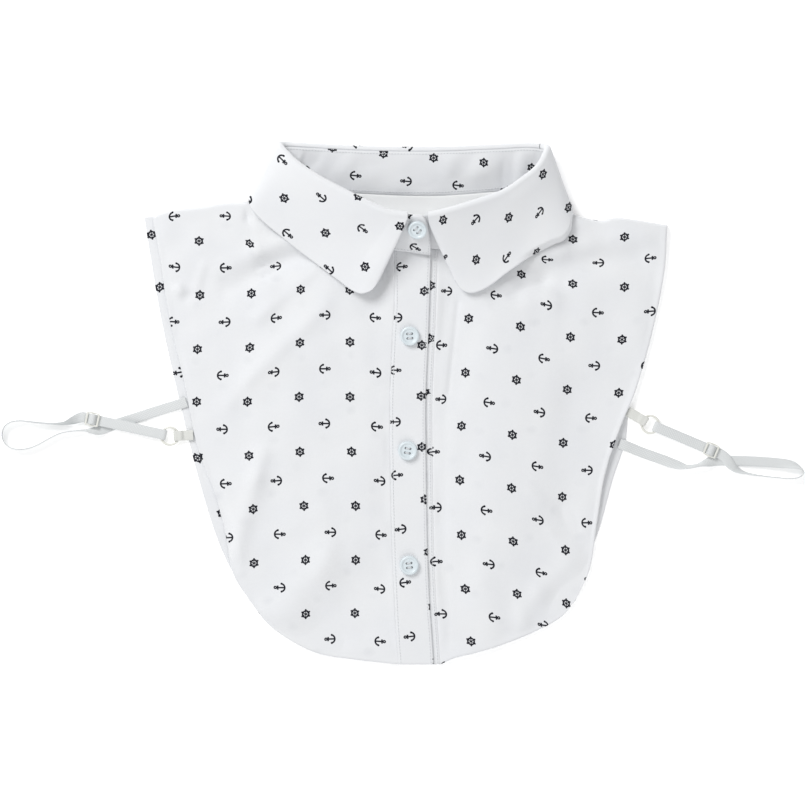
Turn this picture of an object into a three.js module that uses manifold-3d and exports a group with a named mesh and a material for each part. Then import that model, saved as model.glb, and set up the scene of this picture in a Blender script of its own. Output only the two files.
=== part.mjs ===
// A detachable shirt collar with a bib front and back, buttoned and laid flat on its back.
// Millimetres, +Z up from the table, +X across the garment and +Y from the hem to the neck.
// "Right" and "left" in the mesh names are the wearer's; the wearer's right side is at -X.
import * as THREE from "three";
import { mergeVertices } from "three/addons/utils/BufferGeometryUtils.js";
import Module from "manifold-3d";

const wasm = await Module();
wasm.setup();

// Cloth thicknesses and the clearance kept between neighbouring layers.
const PANEL = 1.0;
const PLACKET = 1.2;
const STAND = 1.3;
const LEAF = 1.2;
const GAP = 0.3;

// The collar folds over the stand's top edge in a roll of this middle radius.
const ROLL_RADIUS = 1.9;
const ROLL_STEPS = 3;

// The front halves roll over the shoulder line down to the back panel.
const SHOULDER_ROLL = 2.2;
const SHOULDER_FLOOR = 0.75;
const BACK_INSET = 3.2;
const EDGE_REACH = 0.4;

// The plain facing below the back of the neck: its place on the neck ring, in rows of that table,
// its depth below the stand and how far it stops short of the stand.
const FACING = { from: 11.2, to: 14.8, depth: 15.5, short: 0.55 };

// The under placket shows beside the upper one, and starts this far inside its left edge.
const UNDER_SHOWS = 4.3;
const UNDER_STARTS = 2.6;
const PLACKET_STEP = 1.55;

// Buttons, elastic strap and strap hardware.
const BUTTON = { radius: 5.75, height: 2.3, rim: 1.5, dish: 1.5, holeRadius: 0.8, holeOffset: 1.35 };
const STRAP = { width: 6.4, thickness: 0.8 };
const RING = { radius: 5.4, wire: 0.8, height: 2.3 };
const SLIDER = { bar: 1.2, slot: 2.4, inner: 7.0, rail: 0.95, thickness: 1.0 };
const TAB = { width: 6.2, tape: 0.7 };

const COLOURS = {
  cotton: 0xf1f2f4,
  plainCotton: 0xf6f6f5,
  button: 0xe9f1f6,
  elastic: 0xf4f4f2,
  hardware: 0xf2f2ee,
  tape: 0xe6e1d2,
};

// The neck ring, from the buttoned tab round the wearer's right side and the back to the under end:
// the stand's lower edge (base) and the outermost line of the collar's fold.
const NECK_RING = [
  { baseX: 17.2, baseY: 92.3, baseZ: 12.5, foldX: 16.8, foldY: 106.5, foldZ: 21.2 },
  { baseX: 12.5, baseY: 92.5, baseZ: 12.5, foldX: 12.6, foldY: 117.6, foldZ: 28.1 },
  { baseX: 5, baseY: 93.9, baseZ: 12.3, foldX: 4.0, foldY: 118.4, foldZ: 28.2 },
  { baseX: -12, baseY: 96.0, baseZ: 11.8, foldX: -7.0, foldY: 119.9, foldZ: 27.8 },
  { baseX: -35, baseY: 102.5, baseZ: 10.8, foldX: -23.3, foldY: 126.8, foldZ: 26.0 },
  { baseX: -52, baseY: 110.0, baseZ: 9.8, foldX: -38.5, foldY: 134.4, foldZ: 23.5 },
  { baseX: -66, baseY: 118.5, baseZ: 9.0, foldX: -53.0, foldY: 142.3, foldZ: 20.8 },
  { baseX: -77, baseY: 126.0, baseZ: 8.3, foldX: -63.6, foldY: 149.7, foldZ: 17.8 },
  { baseX: -84, baseY: 131.5, baseZ: 7.3, foldX: -70.3, foldY: 156.2, foldZ: 14.6 },
  { baseX: -86.3, baseY: 134.4, baseZ: 6.3, foldX: -73.2, foldY: 160.3, foldZ: 11.6 },
  { baseX: -82, baseY: 134.8, baseZ: 5.3, foldX: -70.5, foldY: 161.0, foldZ: 9.4 },
  { baseX: -68, baseY: 132.8, baseZ: 4.5, foldX: -58.0, foldY: 160.5, foldZ: 8.6 },
  { baseX: -30, baseY: 129.9, baseZ: 4.35, foldX: -28.0, foldY: 159.0, foldZ: 8.4 },
  { baseX: 21, baseY: 128.4, baseZ: 4.35, foldX: 19.0, foldY: 158.3, foldZ: 8.4 },
  { baseX: 61, baseY: 131.2, baseZ: 4.35, foldX: 58.0, foldY: 159.7, foldZ: 8.6 },
  { baseX: 88.6, baseY: 134.2, baseZ: 5.0, foldX: 78.2, foldY: 160.3, foldZ: 9.2 },
  { baseX: 98.4, baseY: 131.5, baseZ: 6.6, foldX: 86.6, foldY: 158.6, foldZ: 11.8 },
  { baseX: 97.6, baseY: 126.0, baseZ: 7.9, foldX: 85.4, foldY: 153.3, foldZ: 15.0 },
  { baseX: 91.8, baseY: 119.5, baseZ: 8.8, foldX: 81.2, foldY: 146.6, foldZ: 18.5 },
  { baseX: 82, baseY: 112.0, baseZ: 9.6, foldX: 72.9, foldY: 139.8, foldZ: 21.5 },
  { baseX: 66, baseY: 105.0, baseZ: 10.2, foldX: 60.5, foldY: 131.8, foldZ: 23.8 },
  { baseX: 45, baseY: 98.5, baseZ: 10.6, foldX: 43.0, foldY: 125.7, foldZ: 25.2 },
  { baseX: 24, baseY: 95.2, baseZ: 10.6, foldX: 23.3, foldY: 120.0, foldZ: 25.8 },
  { baseX: 10, baseY: 96.6, baseZ: 10.5, foldX: 10.0, foldY: 117.8, foldZ: 25.8 },
  { baseX: 0, baseY: 97.0, baseZ: 10.5, foldX: -1.0, foldY: 118.2, foldZ: 25.7 },
];

// The collar's free edge. Each row names its place on the neck ring, in rows of that table,
// and how long a stretch of the collar lies level inside the edge.
const LEAF_EDGE = [
  { ring: 2.08, x: -14.6, y: 75.3, z: 11.9, level: 14 },
  { ring: 2.2, x: -18.9, y: 69.8, z: 11.4, level: 14 },
  { ring: 2.4, x: -25.1, y: 67.6, z: 10.9, level: 14 },
  { ring: 2.7, x: -31.3, y: 69.8, z: 10.7, level: 14 },
  { ring: 3.0, x: -38.8, y: 75.3, z: 10.6, level: 14 },
  { ring: 3.7, x: -51.2, y: 84.6, z: 10.5, level: 14 },
  { ring: 4.5, x: -63.6, y: 93.9, z: 10.4, level: 13 },
  { ring: 5.6, x: -76.0, y: 103.9, z: 10.4, level: 12 },
  { ring: 6.8, x: -87.1, y: 113.2, z: 10.2, level: 10 },
  { ring: 7.7, x: -93.9, y: 121.2, z: 9.4, level: 8 },
  { ring: 8.5, x: -95.0, y: 125.6, z: 7.2, level: 7 },
  { ring: 9.0, x: -94.8, y: 128.2, z: 4.4, level: 7 },
  { ring: 9.5, x: -93.2, y: 127.2, z: 1.6, level: 9 },
  { ring: 10.0, x: -88.0, y: 121.0, z: 0.75, level: 16 },
  { ring: 11.0, x: -72.0, y: 117.5, z: 0.65, level: 29 },
  { ring: 12.0, x: -30.0, y: 115.0, z: 0.65, level: 31 },
  { ring: 13.0, x: 21.0, y: 113.5, z: 0.65, level: 31 },
  { ring: 14.0, x: 61.0, y: 115.0, z: 0.65, level: 31 },
  { ring: 15.0, x: 92.0, y: 117.0, z: 0.65, level: 25 },
  { ring: 15.7, x: 100.8, y: 117.4, z: 0.8, level: 15 },
  { ring: 16.1, x: 104.8, y: 119.8, z: 2.6, level: 8 },
  { ring: 16.5, x: 105.3, y: 118.7, z: 7.5, level: 7 },
  { ring: 16.9, x: 105.0, y: 113.5, z: 12.6, level: 8 },
  { ring: 17.5, x: 103.9, y: 106.7, z: 16.2, level: 9 },
  { ring: 18.2, x: 99.9, y: 100.3, z: 17.4, level: 10 },
  { ring: 18.9, x: 94.6, y: 95.8, z: 17.2, level: 12 },
  { ring: 19.9, x: 79.1, y: 87.1, z: 15.4, level: 13 },
  { ring: 20.7, x: 66.0, y: 77.6, z: 13.6, level: 14 },
  { ring: 21.3, x: 54.0, y: 71.4, z: 12.5, level: 14 },
  { ring: 21.7, x: 47.2, y: 68.4, z: 12.1, level: 14 },
  { ring: 22.05, x: 41.5, y: 68.1, z: 11.9, level: 14 },
  { ring: 22.35, x: 36.2, y: 70.4, z: 12.0, level: 14 },
  { ring: 22.55, x: 32.2, y: 76.2, z: 12.4, level: 14 },
];

// Front half on the wearer's right: side from the hem corner up to the shoulder point.
const RIGHT_SIDE = [
  { x: -94.5, y: -123.0, z: 2.0 },
  { x: -104.5, y: -107.0, z: 2.0 },
  { x: -109.4, y: -82.0, z: 2.0 },
  { x: -115.0, y: -60.0, z: 2.0 },
  { x: -126.8, y: -27.6, z: 2.0 },
  { x: -134.2, y: 9.0, z: 2.0 },
  { x: -144.2, y: 52.4, z: 2.1 },
  { x: -150.3, y: 91.5, z: 2.2 },
  { x: -154.5, y: 113.0, z: 2.6 },
];
const RIGHT_HEM = [
  { x: -94.5, y: -123.0, z: 2.0 },
  { x: -84.3, y: -136.1, z: 2.0 },
  { x: -67.3, y: -148.5, z: 2.0 },
  { x: -51.2, y: -155.6, z: 2.1 },
  { x: -30.0, y: -159.0, z: 2.8 },
  { x: -2.6, y: -161.5, z: 3.7 },
];
const RIGHT_SHOULDER = [
  { x: -154.5, y: 113.0, z: 2.6 },
  { x: -148.0, y: 116.0, z: 4.2 },
  { x: -125.6, y: 118.9, z: 4.8 },
  { x: -110.0, y: 121.4, z: 5.2 },
  { x: -98.0, y: 121.8, z: 6.2 },
  { x: -91.5, y: 123.0, z: 6.8 },
  { x: -88.6, y: 127.8, z: 6.5 },
];

// Front half on the wearer's left, mirrored in kind but not in shape.
const LEFT_SIDE = [
  { x: 107.0, y: -122.7, z: 2.0 },
  { x: 115.6, y: -103.9, z: 2.0 },
  { x: 120.4, y: -73.5, z: 2.0 },
  { x: 125.6, y: -43.1, z: 2.1 },
  { x: 135.5, y: -13.6, z: 2.1 },
  { x: 143.2, y: 4.7, z: 2.0 },
  { x: 154.1, y: 41.9, z: 2.0 },
  { x: 162.1, y: 82.2, z: 2.8 },
  { x: 163.6, y: 107.4, z: 4.2 },
];
const LEFT_HEM = [
  { x: 23.6, y: -160.2, z: 2.2 },
  { x: 32.0, y: -158.2, z: 3.6 },
  { x: 45.0, y: -155.0, z: 4.6 },
  { x: 58.0, y: -151.2, z: 3.4 },
  { x: 80.9, y: -142.3, z: 2.2 },
  { x: 98.3, y: -132.7, z: 2.0 },
  { x: 107.0, y: -122.7, z: 2.0 },
];
const LEFT_SHOULDER = [
  { x: 98.9, y: 121.6, z: 6.6 },
  { x: 101.3, y: 117.0, z: 6.8 },
  { x: 107.6, y: 113.4, z: 6.4 },
  { x: 117.5, y: 110.9, z: 5.0 },
  { x: 123.5, y: 110.2, z: 4.8 },
  { x: 131.0, y: 112.0, z: 5.0 },
  { x: 147.3, y: 110.2, z: 4.8 },
  { x: 163.6, y: 107.4, z: 4.2 },
];

// Back panel: sides from the hem corners up, the hem and the hidden right part.
const BACK_RIGHT_SIDE = [
  { x: -84.0, y: -129.0 },
  { x: -100.0, y: -113.0 },
  { x: -112.5, y: -89.6 },
  { x: -125.6, y: -48.7 },
  { x: -138.0, y: 1.6 },
  { x: -148.5, y: 48.1 },
  { x: -156.6, y: 94.6 },
  { x: -159.6, y: 114.6 },
];
const BACK_LEFT_SIDE = [
  { x: 90.0, y: -126.0 },
  { x: 108.0, y: -105.0 },
  { x: 119.0, y: -85.9 },
  { x: 130.4, y: -46.8 },
  { x: 138.0, y: -23.3 },
  { x: 139.6, y: -8.0 },
  { x: 146.0, y: 30.0 },
  { x: 158.0, y: 88.0 },
  { x: 160.4, y: 105.6 },
];
const BACK_HEM = [
  { x: -84.0, y: -129.0 },
  { x: -62.0, y: -142.0 },
  { x: -30.0, y: -150.0 },
  { x: 5.0, y: -152.0 },
  { x: 40.0, y: -148.5 },
  { x: 68.0, y: -140.0 },
  { x: 90.0, y: -126.0 },
];

// Neck corners of the back panel, inside the turns of the collar.
const BACK_RIGHT_NECK = [
  { x: -89.4, y: 121.4 },
  { x: -86.2, y: 130.0 },
];
const BACK_LEFT_NECK = [
  { x: 98.2, y: 124.0 },
  { x: 100.0, y: 116.8 },
];

// The upper placket, from the neck seam down to the hem: its edges and the height of its middle.
const PLACKET_ROWS = [
  { y: 94.7, left: -5.0, right: 17.3, z: 10.5 },
  { y: 63.6, left: -4.6, right: 16.4, z: 9.7 },
  { y: 38.8, left: -5.9, right: 15.5, z: 8.6 },
  { y: 1.6, left: -7.4, right: 14.0, z: 7.2 },
  { y: -48.0, left: -7.1, right: 14.3, z: 6.0 },
  { y: -94.6, left: -5.9, right: 15.2, z: 5.0 },
  { y: -123.0, left: -4.7, right: 16.4, z: 4.5 },
  { y: -147.0, left: -3.4, right: 18.0, z: 4.1 },
  { y: -162.0, left: -2.2, right: 18.9, z: 3.9 },
];

// Soft folds of the two front halves: a ridge (height above 0) or a valley along a line,
// with the half width over which it fades.
const FOLDS = [
  { fromX: -70, fromY: 20, toX: -60, toY: -70, width: 42, height: 3.2 },
  { fromX: -120, fromY: 79, toX: -66, toY: 90, width: 9, height: -1.5 },
  { fromX: -84, fromY: 68, toX: -88, toY: 54, width: 9, height: 1.2 },
  { fromX: -46, fromY: 68, toX: -104, toY: 4, width: 10, height: 1.3 },
  { fromX: -88, fromY: -34, toX: -104, toY: -96, width: 10, height: 1.3 },
  { fromX: -38, fromY: -94, toX: -62, toY: -140, width: 12, height: -2.0 },
  { fromX: 75, fromY: 20, toX: 70, toY: -80, width: 40, height: 3.2 },
  { fromX: 84, fromY: 92, toX: 106, toY: 106, width: 9, height: 1.0 },
  { fromX: 78, fromY: 78, toX: 145, toY: 93, width: 10, height: -1.7 },
  { fromX: 33, fromY: 62, toX: 32, toY: 8, width: 7, height: -0.9 },
  { fromX: 125, fromY: 0, toX: 112, toY: -85, width: 11, height: 1.1 },
  { fromX: 90, fromY: -112, toX: 108, toY: -124, width: 11, height: -0.8 },
  { fromX: 50, fromY: -112, toX: 60, toY: -146, width: 11, height: 1.2 },
];

// Slack of the elastic straps from the back panel to the slider: the band's middle line and its lean,
// 0 or 180 degrees lying flat and 90 degrees standing on edge.
const RIGHT_SLACK = [
  { x: -133.9, y: 0.4, z: 1.8, lean: 180 },
  { x: -138.4, y: -1.1, z: 1.8, lean: 180 },
  { x: -142.5, y: -2.4, z: 1.2, lean: 178 },
  { x: -148.0, y: -4.0, z: 0.8, lean: 176 },
  { x: -158.0, y: -7.2, z: 0.8, lean: 176 },
  { x: -168.0, y: -10.4, z: 0.6, lean: 179 },
  { x: -176.0, y: -12.9, z: 0.55, lean: 180 },
  { x: -183.5, y: -15.7, z: 0.55, lean: 180 },
  { x: -188.0, y: -17.2, z: 1.75, lean: 158 },
  { x: -192.0, y: -17.6, z: 3.05, lean: 125 },
  { x: -197.0, y: -17.2, z: 3.35, lean: 98 },
  { x: -204.0, y: -17.6, z: 3.35, lean: 92 },
  { x: -212.4, y: -19.2, z: 3.35, lean: 90 },
  { x: -220.4, y: -23.0, z: 3.35, lean: 90 },
  { x: -227.9, y: -27.0, z: 3.35, lean: 90 },
  { x: -235.0, y: -28.9, z: 3.35, lean: 88 },
  { x: -242.1, y: -28.3, z: 3.35, lean: 88 },
  { x: -246.6, y: -25.1, z: 3.35, lean: 88 },
  { x: -248.2, y: -20.2, z: 3.35, lean: 90 },
  { x: -246.9, y: -15.2, z: 3.35, lean: 90 },
  { x: -243.0, y: -12.2, z: 3.35, lean: 90 },
  { x: -237.2, y: -11.3, z: 3.35, lean: 92 },
  { x: -229.7, y: -12.0, z: 3.35, lean: 94 },
  { x: -217.9, y: -13.1, z: 3.4, lean: 96 },
  { x: -209.5, y: -12.8, z: 3.5, lean: 108 },
  { x: -203.5, y: -10.8, z: 3.3, lean: 145 },
];
const LEFT_SLACK = [
  { x: 134.4, y: -25.4, z: 1.8, lean: 0 },
  { x: 138.4, y: -26.9, z: 1.8, lean: 0 },
  { x: 142.5, y: -28.5, z: 1.2, lean: 3 },
  { x: 147.5, y: -30.6, z: 0.8, lean: 5 },
  { x: 155.0, y: -33.3, z: 0.8, lean: 5 },
  { x: 163.4, y: -36.3, z: 1.1, lean: 10 },
  { x: 170.0, y: -38.6, z: 2.1, lean: 30 },
  { x: 176.0, y: -39.9, z: 3.25, lean: 68 },
  { x: 183.0, y: -38.9, z: 3.35, lean: 74 },
  { x: 189.0, y: -37.2, z: 2.25, lean: 34 },
  { x: 194.0, y: -36.2, z: 0.78, lean: 5 },
  { x: 200.0, y: -36.0, z: 0.55, lean: 0 },
  { x: 207.0, y: -36.2, z: 0.6, lean: 3 },
  { x: 215.0, y: -36.4, z: 1.0, lean: 9 },
  { x: 225.0, y: -36.9, z: 1.35, lean: 15 },
  { x: 235.0, y: -37.7, z: 1.75, lean: 22 },
  { x: 241.5, y: -38.6, z: 2.7, lean: 42 },
  { x: 246.0, y: -40.4, z: 3.2, lean: 75 },
  { x: 248.6, y: -43.2, z: 3.35, lean: 88 },
  { x: 246.4, y: -46.0, z: 3.35, lean: 90 },
  { x: 240.3, y: -47.1, z: 3.35, lean: 90 },
  { x: 232.8, y: -46.6, z: 3.35, lean: 90 },
  { x: 222.0, y: -45.4, z: 3.35, lean: 92 },
  { x: 213.0, y: -43.8, z: 3.3, lean: 100 },
  { x: 207.0, y: -41.6, z: 2.9, lean: 128 },
  { x: 202.8, y: -37.8, z: 2.1, lean: 165 },
  { x: 200.2, y: -34.4, z: 1.8, lean: 178 },
];

// Slider and ring centres, the front edge that the tab reaches, the slack table of each side and
// how far the slider and the doubled run lie above the table.
const STRAPS = [
  {
    side: "right",
    slack: RIGHT_SLACK,
    slider: { x: -192.2, y: -10.4 },
    ring: { x: -144.2, y: -20.8 },
    anchor: { x: -129.7, y: -20.2 },
    lift: 1.15,
  },
  {
    side: "left",
    slack: LEFT_SLACK,
    slider: { x: 191.3, y: -29.5 },
    ring: { x: 153.5, y: -13.6 },
    anchor: { x: 139.6, y: -5.5 },
    lift: 0,
  },
];

const PLACKET_BUTTONS = [
  { x: 4.5, y: 41.2 },
  { x: 3.4, y: -30.7 },
  { x: 4.3, y: -100.8 },
];
const STAND_BUTTON = { ring: 1.5, share: 0.56 };

const UP = new THREE.Vector3(0, 0, 1);
const point = (row) => new THREE.Vector3(row.x, row.y, row.z ?? 0);
const smooth = (a, b, value) => THREE.MathUtils.smoothstep(value, a, b);
const steps = (count) => Array.from({ length: count + 1 }, (_, i) => i / count);
const splineOf = (points) => new THREE.CatmullRomCurve3(points, false, "centripetal");
const curveOf = (rows) => splineOf(rows.map(point));

function material(colour, roughness) {
  return new THREE.MeshStandardMaterial({ color: colour, roughness, metalness: 0 });
}

// A closed solid from its vertices and triangles, turned so that its faces point out.
function closedGeometry(vertices, faces) {
  let volume = 0;
  const cross = new THREE.Vector3();
  for (const [a, b, c] of faces) {
    volume += vertices[a].dot(cross.crossVectors(vertices[b], vertices[c]));
  }
  const index = volume < 0 ? faces.flatMap(([a, b, c]) => [a, c, b]) : faces.flat();
  const geometry = new THREE.BufferGeometry().setFromPoints(vertices);
  geometry.setIndex(index);
  geometry.computeVertexNormals();
  return geometry;
}

// A cloth wall: a grid over the middle surface, thickened to both sides and closed by its rim.
function clothWall(us, vs, thickness, middle) {
  const width = us.length;
  const grid = vs.map((v) => us.map((u) => middle(u, v)));
  const last = (list) => list.length - 1;
  const along = (j, i) => {
    const row = grid[j];
    return row[Math.min(i + 1, last(us))].clone().sub(row[Math.max(i - 1, 0)]);
  };
  const across = (j, i) => {
    return grid[Math.min(j + 1, last(vs))][i].clone().sub(grid[Math.max(j - 1, 0)][i]);
  };
  const upper = [];
  const lower = [];
  grid.forEach((row, j) => {
    row.forEach((middlePoint, i) => {
      const normal = along(j, i).cross(across(j, i)).normalize();
      upper.push(middlePoint.clone().addScaledVector(normal, thickness / 2));
      lower.push(middlePoint.clone().addScaledVector(normal, -thickness / 2));
    });
  });
  const below = upper.length;
  const faces = [];
  const quad = (a, b, c, d) => faces.push([a, b, c], [a, c, d]);
  for (let j = 0; j < last(vs); j += 1) {
    for (let i = 0; i < last(us); i += 1) {
      const a = j * width + i;
      quad(a, a + 1, a + width + 1, a + width);
      quad(below + a, below + a + width, below + a + width + 1, below + a + 1);
    }
  }
  const rim = [];
  for (let i = 0; i < last(us); i += 1) rim.push(i);
  for (let j = 0; j < last(vs); j += 1) rim.push(j * width + last(us));
  for (let i = last(us); i > 0; i -= 1) rim.push(last(vs) * width + i);
  for (let j = last(vs); j > 0; j -= 1) rim.push(j * width);
  rim.forEach((a, k) => {
    const b = rim[(k + 1) % rim.length];
    quad(a, below + a, below + b, b);
  });
  return closedGeometry([...upper, ...lower], faces);
}

// A boundary made of several curves, each taking its share of the way.
function joined(curves, ends) {
  return (t) => {
    const k = Math.max(0, ends.findIndex((end) => t <= end));
    const start = k === 0 ? 0 : ends[k - 1];
    return curves[k].getPointAt(THREE.MathUtils.clamp((t - start) / (ends[k] - start), 0, 1));
  };
}

// A surface spanned between four boundary curves that share their corners.
function coonsPatch(bottom, top, left, right) {
  const corner = {
    low: [bottom(0), bottom(1)],
    high: [top(0), top(1)],
  };
  return (u, v) => {
    const spot = new THREE.Vector3();
    spot.addScaledVector(bottom(u), 1 - v).addScaledVector(top(u), v);
    spot.addScaledVector(left(v), 1 - u).addScaledVector(right(v), u);
    spot.addScaledVector(corner.low[0], -(1 - u) * (1 - v)).addScaledVector(corner.low[1], -u * (1 - v));
    spot.addScaledVector(corner.high[0], -(1 - u) * v).addScaledVector(corner.high[1], -u * v);
    return spot;
  };
}

// Height of the collar's back part under the panels: they rise over it near the neck.
function collarUnder(x, y) {
  const sides = smooth(-103, -96.5, x) * (1 - smooth(110, 117, x));
  const overLeaf = 1.6 * smooth(103, 111, y);
  const overCurl = 0.7 * smooth(121, 131, y);
  const rightTurn = 1.1 * smooth(116, 122, y) * (1 - smooth(-90, -80, x));
  const leftTurn = 1.5 * smooth(111, 118, y) * smooth(92, 101, x);
  return sides * (overLeaf + overCurl + rightTurn + leftTurn);
}

// The neck ring at a place t counted in rows of its table.
const ringBase = splineOf(NECK_RING.map((r) => new THREE.Vector3(r.baseX, r.baseY, r.baseZ)));
const ringFold = splineOf(NECK_RING.map((r) => new THREE.Vector3(r.foldX, r.foldY, r.foldZ)));
const RING_ROWS = NECK_RING.length - 1;

function ringFrame(t) {
  const base = ringBase.getPoint(t / RING_ROWS);
  const fold = ringFold.getPoint(t / RING_ROWS);
  const before = ringFold.getPoint(Math.max(0, t - 0.1) / RING_ROWS);
  const after = ringFold.getPoint(Math.min(RING_ROWS, t + 0.1) / RING_ROWS);
  const rise = fold.clone().sub(base);
  const height = rise.length();
  rise.normalize();
  const out = rise.clone().cross(after.sub(before)).normalize();
  return { base, fold, rise, out, height };
}

// The stand stops short of the fold, where the collar is sewn to it.
function standPoint(t, share) {
  const { base, rise, height } = ringFrame(t);
  return base.clone().addScaledVector(rise, share * (height - ROLL_RADIUS - LEAF / 2 - 2.5 * GAP));
}

// The collar from its seam over the roll and down to its free edge.
const leafRows = LEAF_EDGE.map((row) => new THREE.Vector3(row.x, row.y, row.z));
const leafEdge = splineOf(leafRows);
const leafPlace = splineOf(LEAF_EDGE.map((row) => new THREE.Vector3(row.ring, row.level, 0)));

function leafPoint(s, v) {
  const place = leafPlace.getPoint(s);
  const { fold, rise, out } = ringFrame(place.x);
  const edge = leafEdge.getPoint(s);
  const seam = fold.clone().addScaledVector(rise, -(ROLL_RADIUS + LEAF / 2));
  const centre = seam.clone().addScaledVector(out, ROLL_RADIUS);
  if (v <= 0) {
    const angle = Math.PI * (1 + v);
    return centre
      .addScaledVector(out, -ROLL_RADIUS * Math.cos(angle))
      .addScaledVector(rise, ROLL_RADIUS * Math.sin(angle));
  }
  const start = centre.addScaledVector(out, ROLL_RADIUS);
  const inward = start.clone().sub(edge).setZ(0).normalize();
  const leaving = start.clone().addScaledVector(rise, -place.y * 0.6);
  const arriving = edge.clone().addScaledVector(inward, place.y);
  return new THREE.CubicBezierCurve3(start, leaving, arriving, edge).getPoint(v);
}

// Ridges and valleys of the front halves at a place on the table.
function foldHeight(x, y) {
  let height = 0;
  for (const fold of FOLDS) {
    const alongX = fold.toX - fold.fromX;
    const alongY = fold.toY - fold.fromY;
    const raw = ((x - fold.fromX) * alongX + (y - fold.fromY) * alongY) / (alongX ** 2 + alongY ** 2);
    const share = THREE.MathUtils.clamp(raw, 0, 1);
    const away = Math.hypot(x - fold.fromX - share * alongX, y - fold.fromY - share * alongY);
    height += fold.height * Math.exp(-((away / fold.width) ** 2));
  }
  return height;
}

// Folds fade towards the edges of a half, which keep the heights of their tables.
function fade(u, v) {
  return smooth(0, 0.12, u) * smooth(0, 0.12, 1 - u) * smooth(0, 0.07, v) * smooth(0, 0.1, 1 - v);
}

function frontHalf(patch, shoulderFrom, shoulderTo) {
  const clearance = PANEL / 2 + GAP + PANEL + PANEL / 2;
  return (u, v) => {
    const spot = patch(u, Math.min(v, 1));
    spot.z = Math.max(spot.z + foldHeight(spot.x, spot.y) * fade(u, Math.min(v, 1)),
      clearance + collarUnder(spot.x, spot.y));
    if (v > 1) {
      const onShoulder = smooth(shoulderFrom.from, shoulderFrom.to, u) *
        (1 - smooth(shoulderTo.from, shoulderTo.to, u));
      const angle = (v - 1) * Math.PI / 2;
      const drop = spot.z - SHOULDER_FLOOR - collarUnder(spot.x, spot.y);
      const along = patch(Math.min(u + 0.01, 1), 1).sub(patch(Math.max(u - 0.01, 0), 1)).setZ(0).normalize();
      const reach = (EDGE_REACH + (SHOULDER_ROLL - EDGE_REACH) * onShoulder) * Math.sin(angle);
      spot.add(new THREE.Vector3(-along.y * reach, along.x * reach, 0));
      spot.z -= drop * onShoulder * (1 - Math.cos(angle));
    }
    return spot;
  };
}

const group = new THREE.Group();

function add(name, geometry, finish, parent = group) {
  const mesh = new THREE.Mesh(geometry, finish);
  mesh.name = name;
  parent.add(mesh);
  return mesh;
}

const cotton = () => material(COLOURS.cotton, 0.85);

// Placket edges at a height on the garment.
const placketLeft = curveOf(PLACKET_ROWS.map((r) => ({ x: r.left, y: r.y, z: r.z })));
const placketRight = curveOf(PLACKET_ROWS.map((r) => ({ x: r.right, y: r.y, z: r.z })));

function placketPoint(u, v) {
  return placketLeft.getPointAt(1 - v).lerp(placketRight.getPointAt(1 - v), u);
}

function underPlacketPoint(u, v) {
  const left = placketLeft.getPointAt(1 - v).setComponent(2, 0);
  const right = placketRight.getPointAt(1 - v);
  left.x += UNDER_STARTS;
  left.z = right.z;
  right.x += UNDER_SHOWS;
  const spot = left.lerp(right, u);
  spot.z -= PLACKET_STEP;
  return spot;
}

// The neck edge of a half runs under the stand's base.
function underStand(t) {
  const { base, rise } = ringFrame(t);
  const inset = rise.clone().setZ(0).normalize();
  return base.clone().addScaledVector(inset, 0.9).add(new THREE.Vector3(0, 0, -(STAND + PANEL) / 2 - GAP));
}

function buildRightFront() {
  const centre = (v) => {
    const spot = placketLeft.getPointAt(1 - v);
    spot.x -= GAP;
    return spot;
  };
  const shoulder = curveOf(RIGHT_SHOULDER);
  const neckPoints = [point(RIGHT_SHOULDER.at(-1)), underStand(7.0), underStand(6.0), underStand(5.0),
    underStand(4.0), underStand(3.1), centre(1)];
  const hemRows = [...RIGHT_HEM.slice(0, -1)].map(point).concat([centre(0)]);
  const hem = splineOf(hemRows);
  const side = curveOf(RIGHT_SIDE);
  const share = 0.46;
  const top = joined([shoulder, splineOf(neckPoints)], [share, 1]);
  const patch = coonsPatch((u) => hem.getPointAt(u), top, (v) => side.getPointAt(v), centre);
  const middle = frontHalf(patch, { from: 0, to: 0.06 }, { from: share - 0.02, to: share + 0.05 });
  const rows = [...steps(20), 1.35, 1.7, 2];
  add("front_panel_right", clothWall(steps(16), rows, PANEL, middle), cotton());
}

function buildLeftFront() {
  const centre = (v) => {
    const spot = placketRight.getPointAt(1 - v);
    spot.x += UNDER_SHOWS + GAP;
    spot.z -= PLACKET_STEP;
    return spot;
  };
  const shoulder = curveOf(LEFT_SHOULDER);
  const neckPoints = [centre(1), underStand(21.4), underStand(21), underStand(20), underStand(19),
    underStand(18), point(LEFT_SHOULDER[0])];
  const hemRows = [centre(0)].concat(LEFT_HEM.slice(1).map(point));
  const hem = splineOf(hemRows);
  const side = curveOf(LEFT_SIDE);
  const share = 0.56;
  const top = joined([splineOf(neckPoints), shoulder], [share, 1]);
  const patch = coonsPatch((u) => hem.getPointAt(u), top, centre, (v) => side.getPointAt(v));
  const middle = frontHalf(patch, { from: share - 0.05, to: share + 0.02 }, { from: 1.01, to: 1.02 });
  const rows = [...steps(20), 1.35, 1.7, 2];
  add("front_panel_left", clothWall(steps(16), rows, PANEL, middle), cotton());
}

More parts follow.
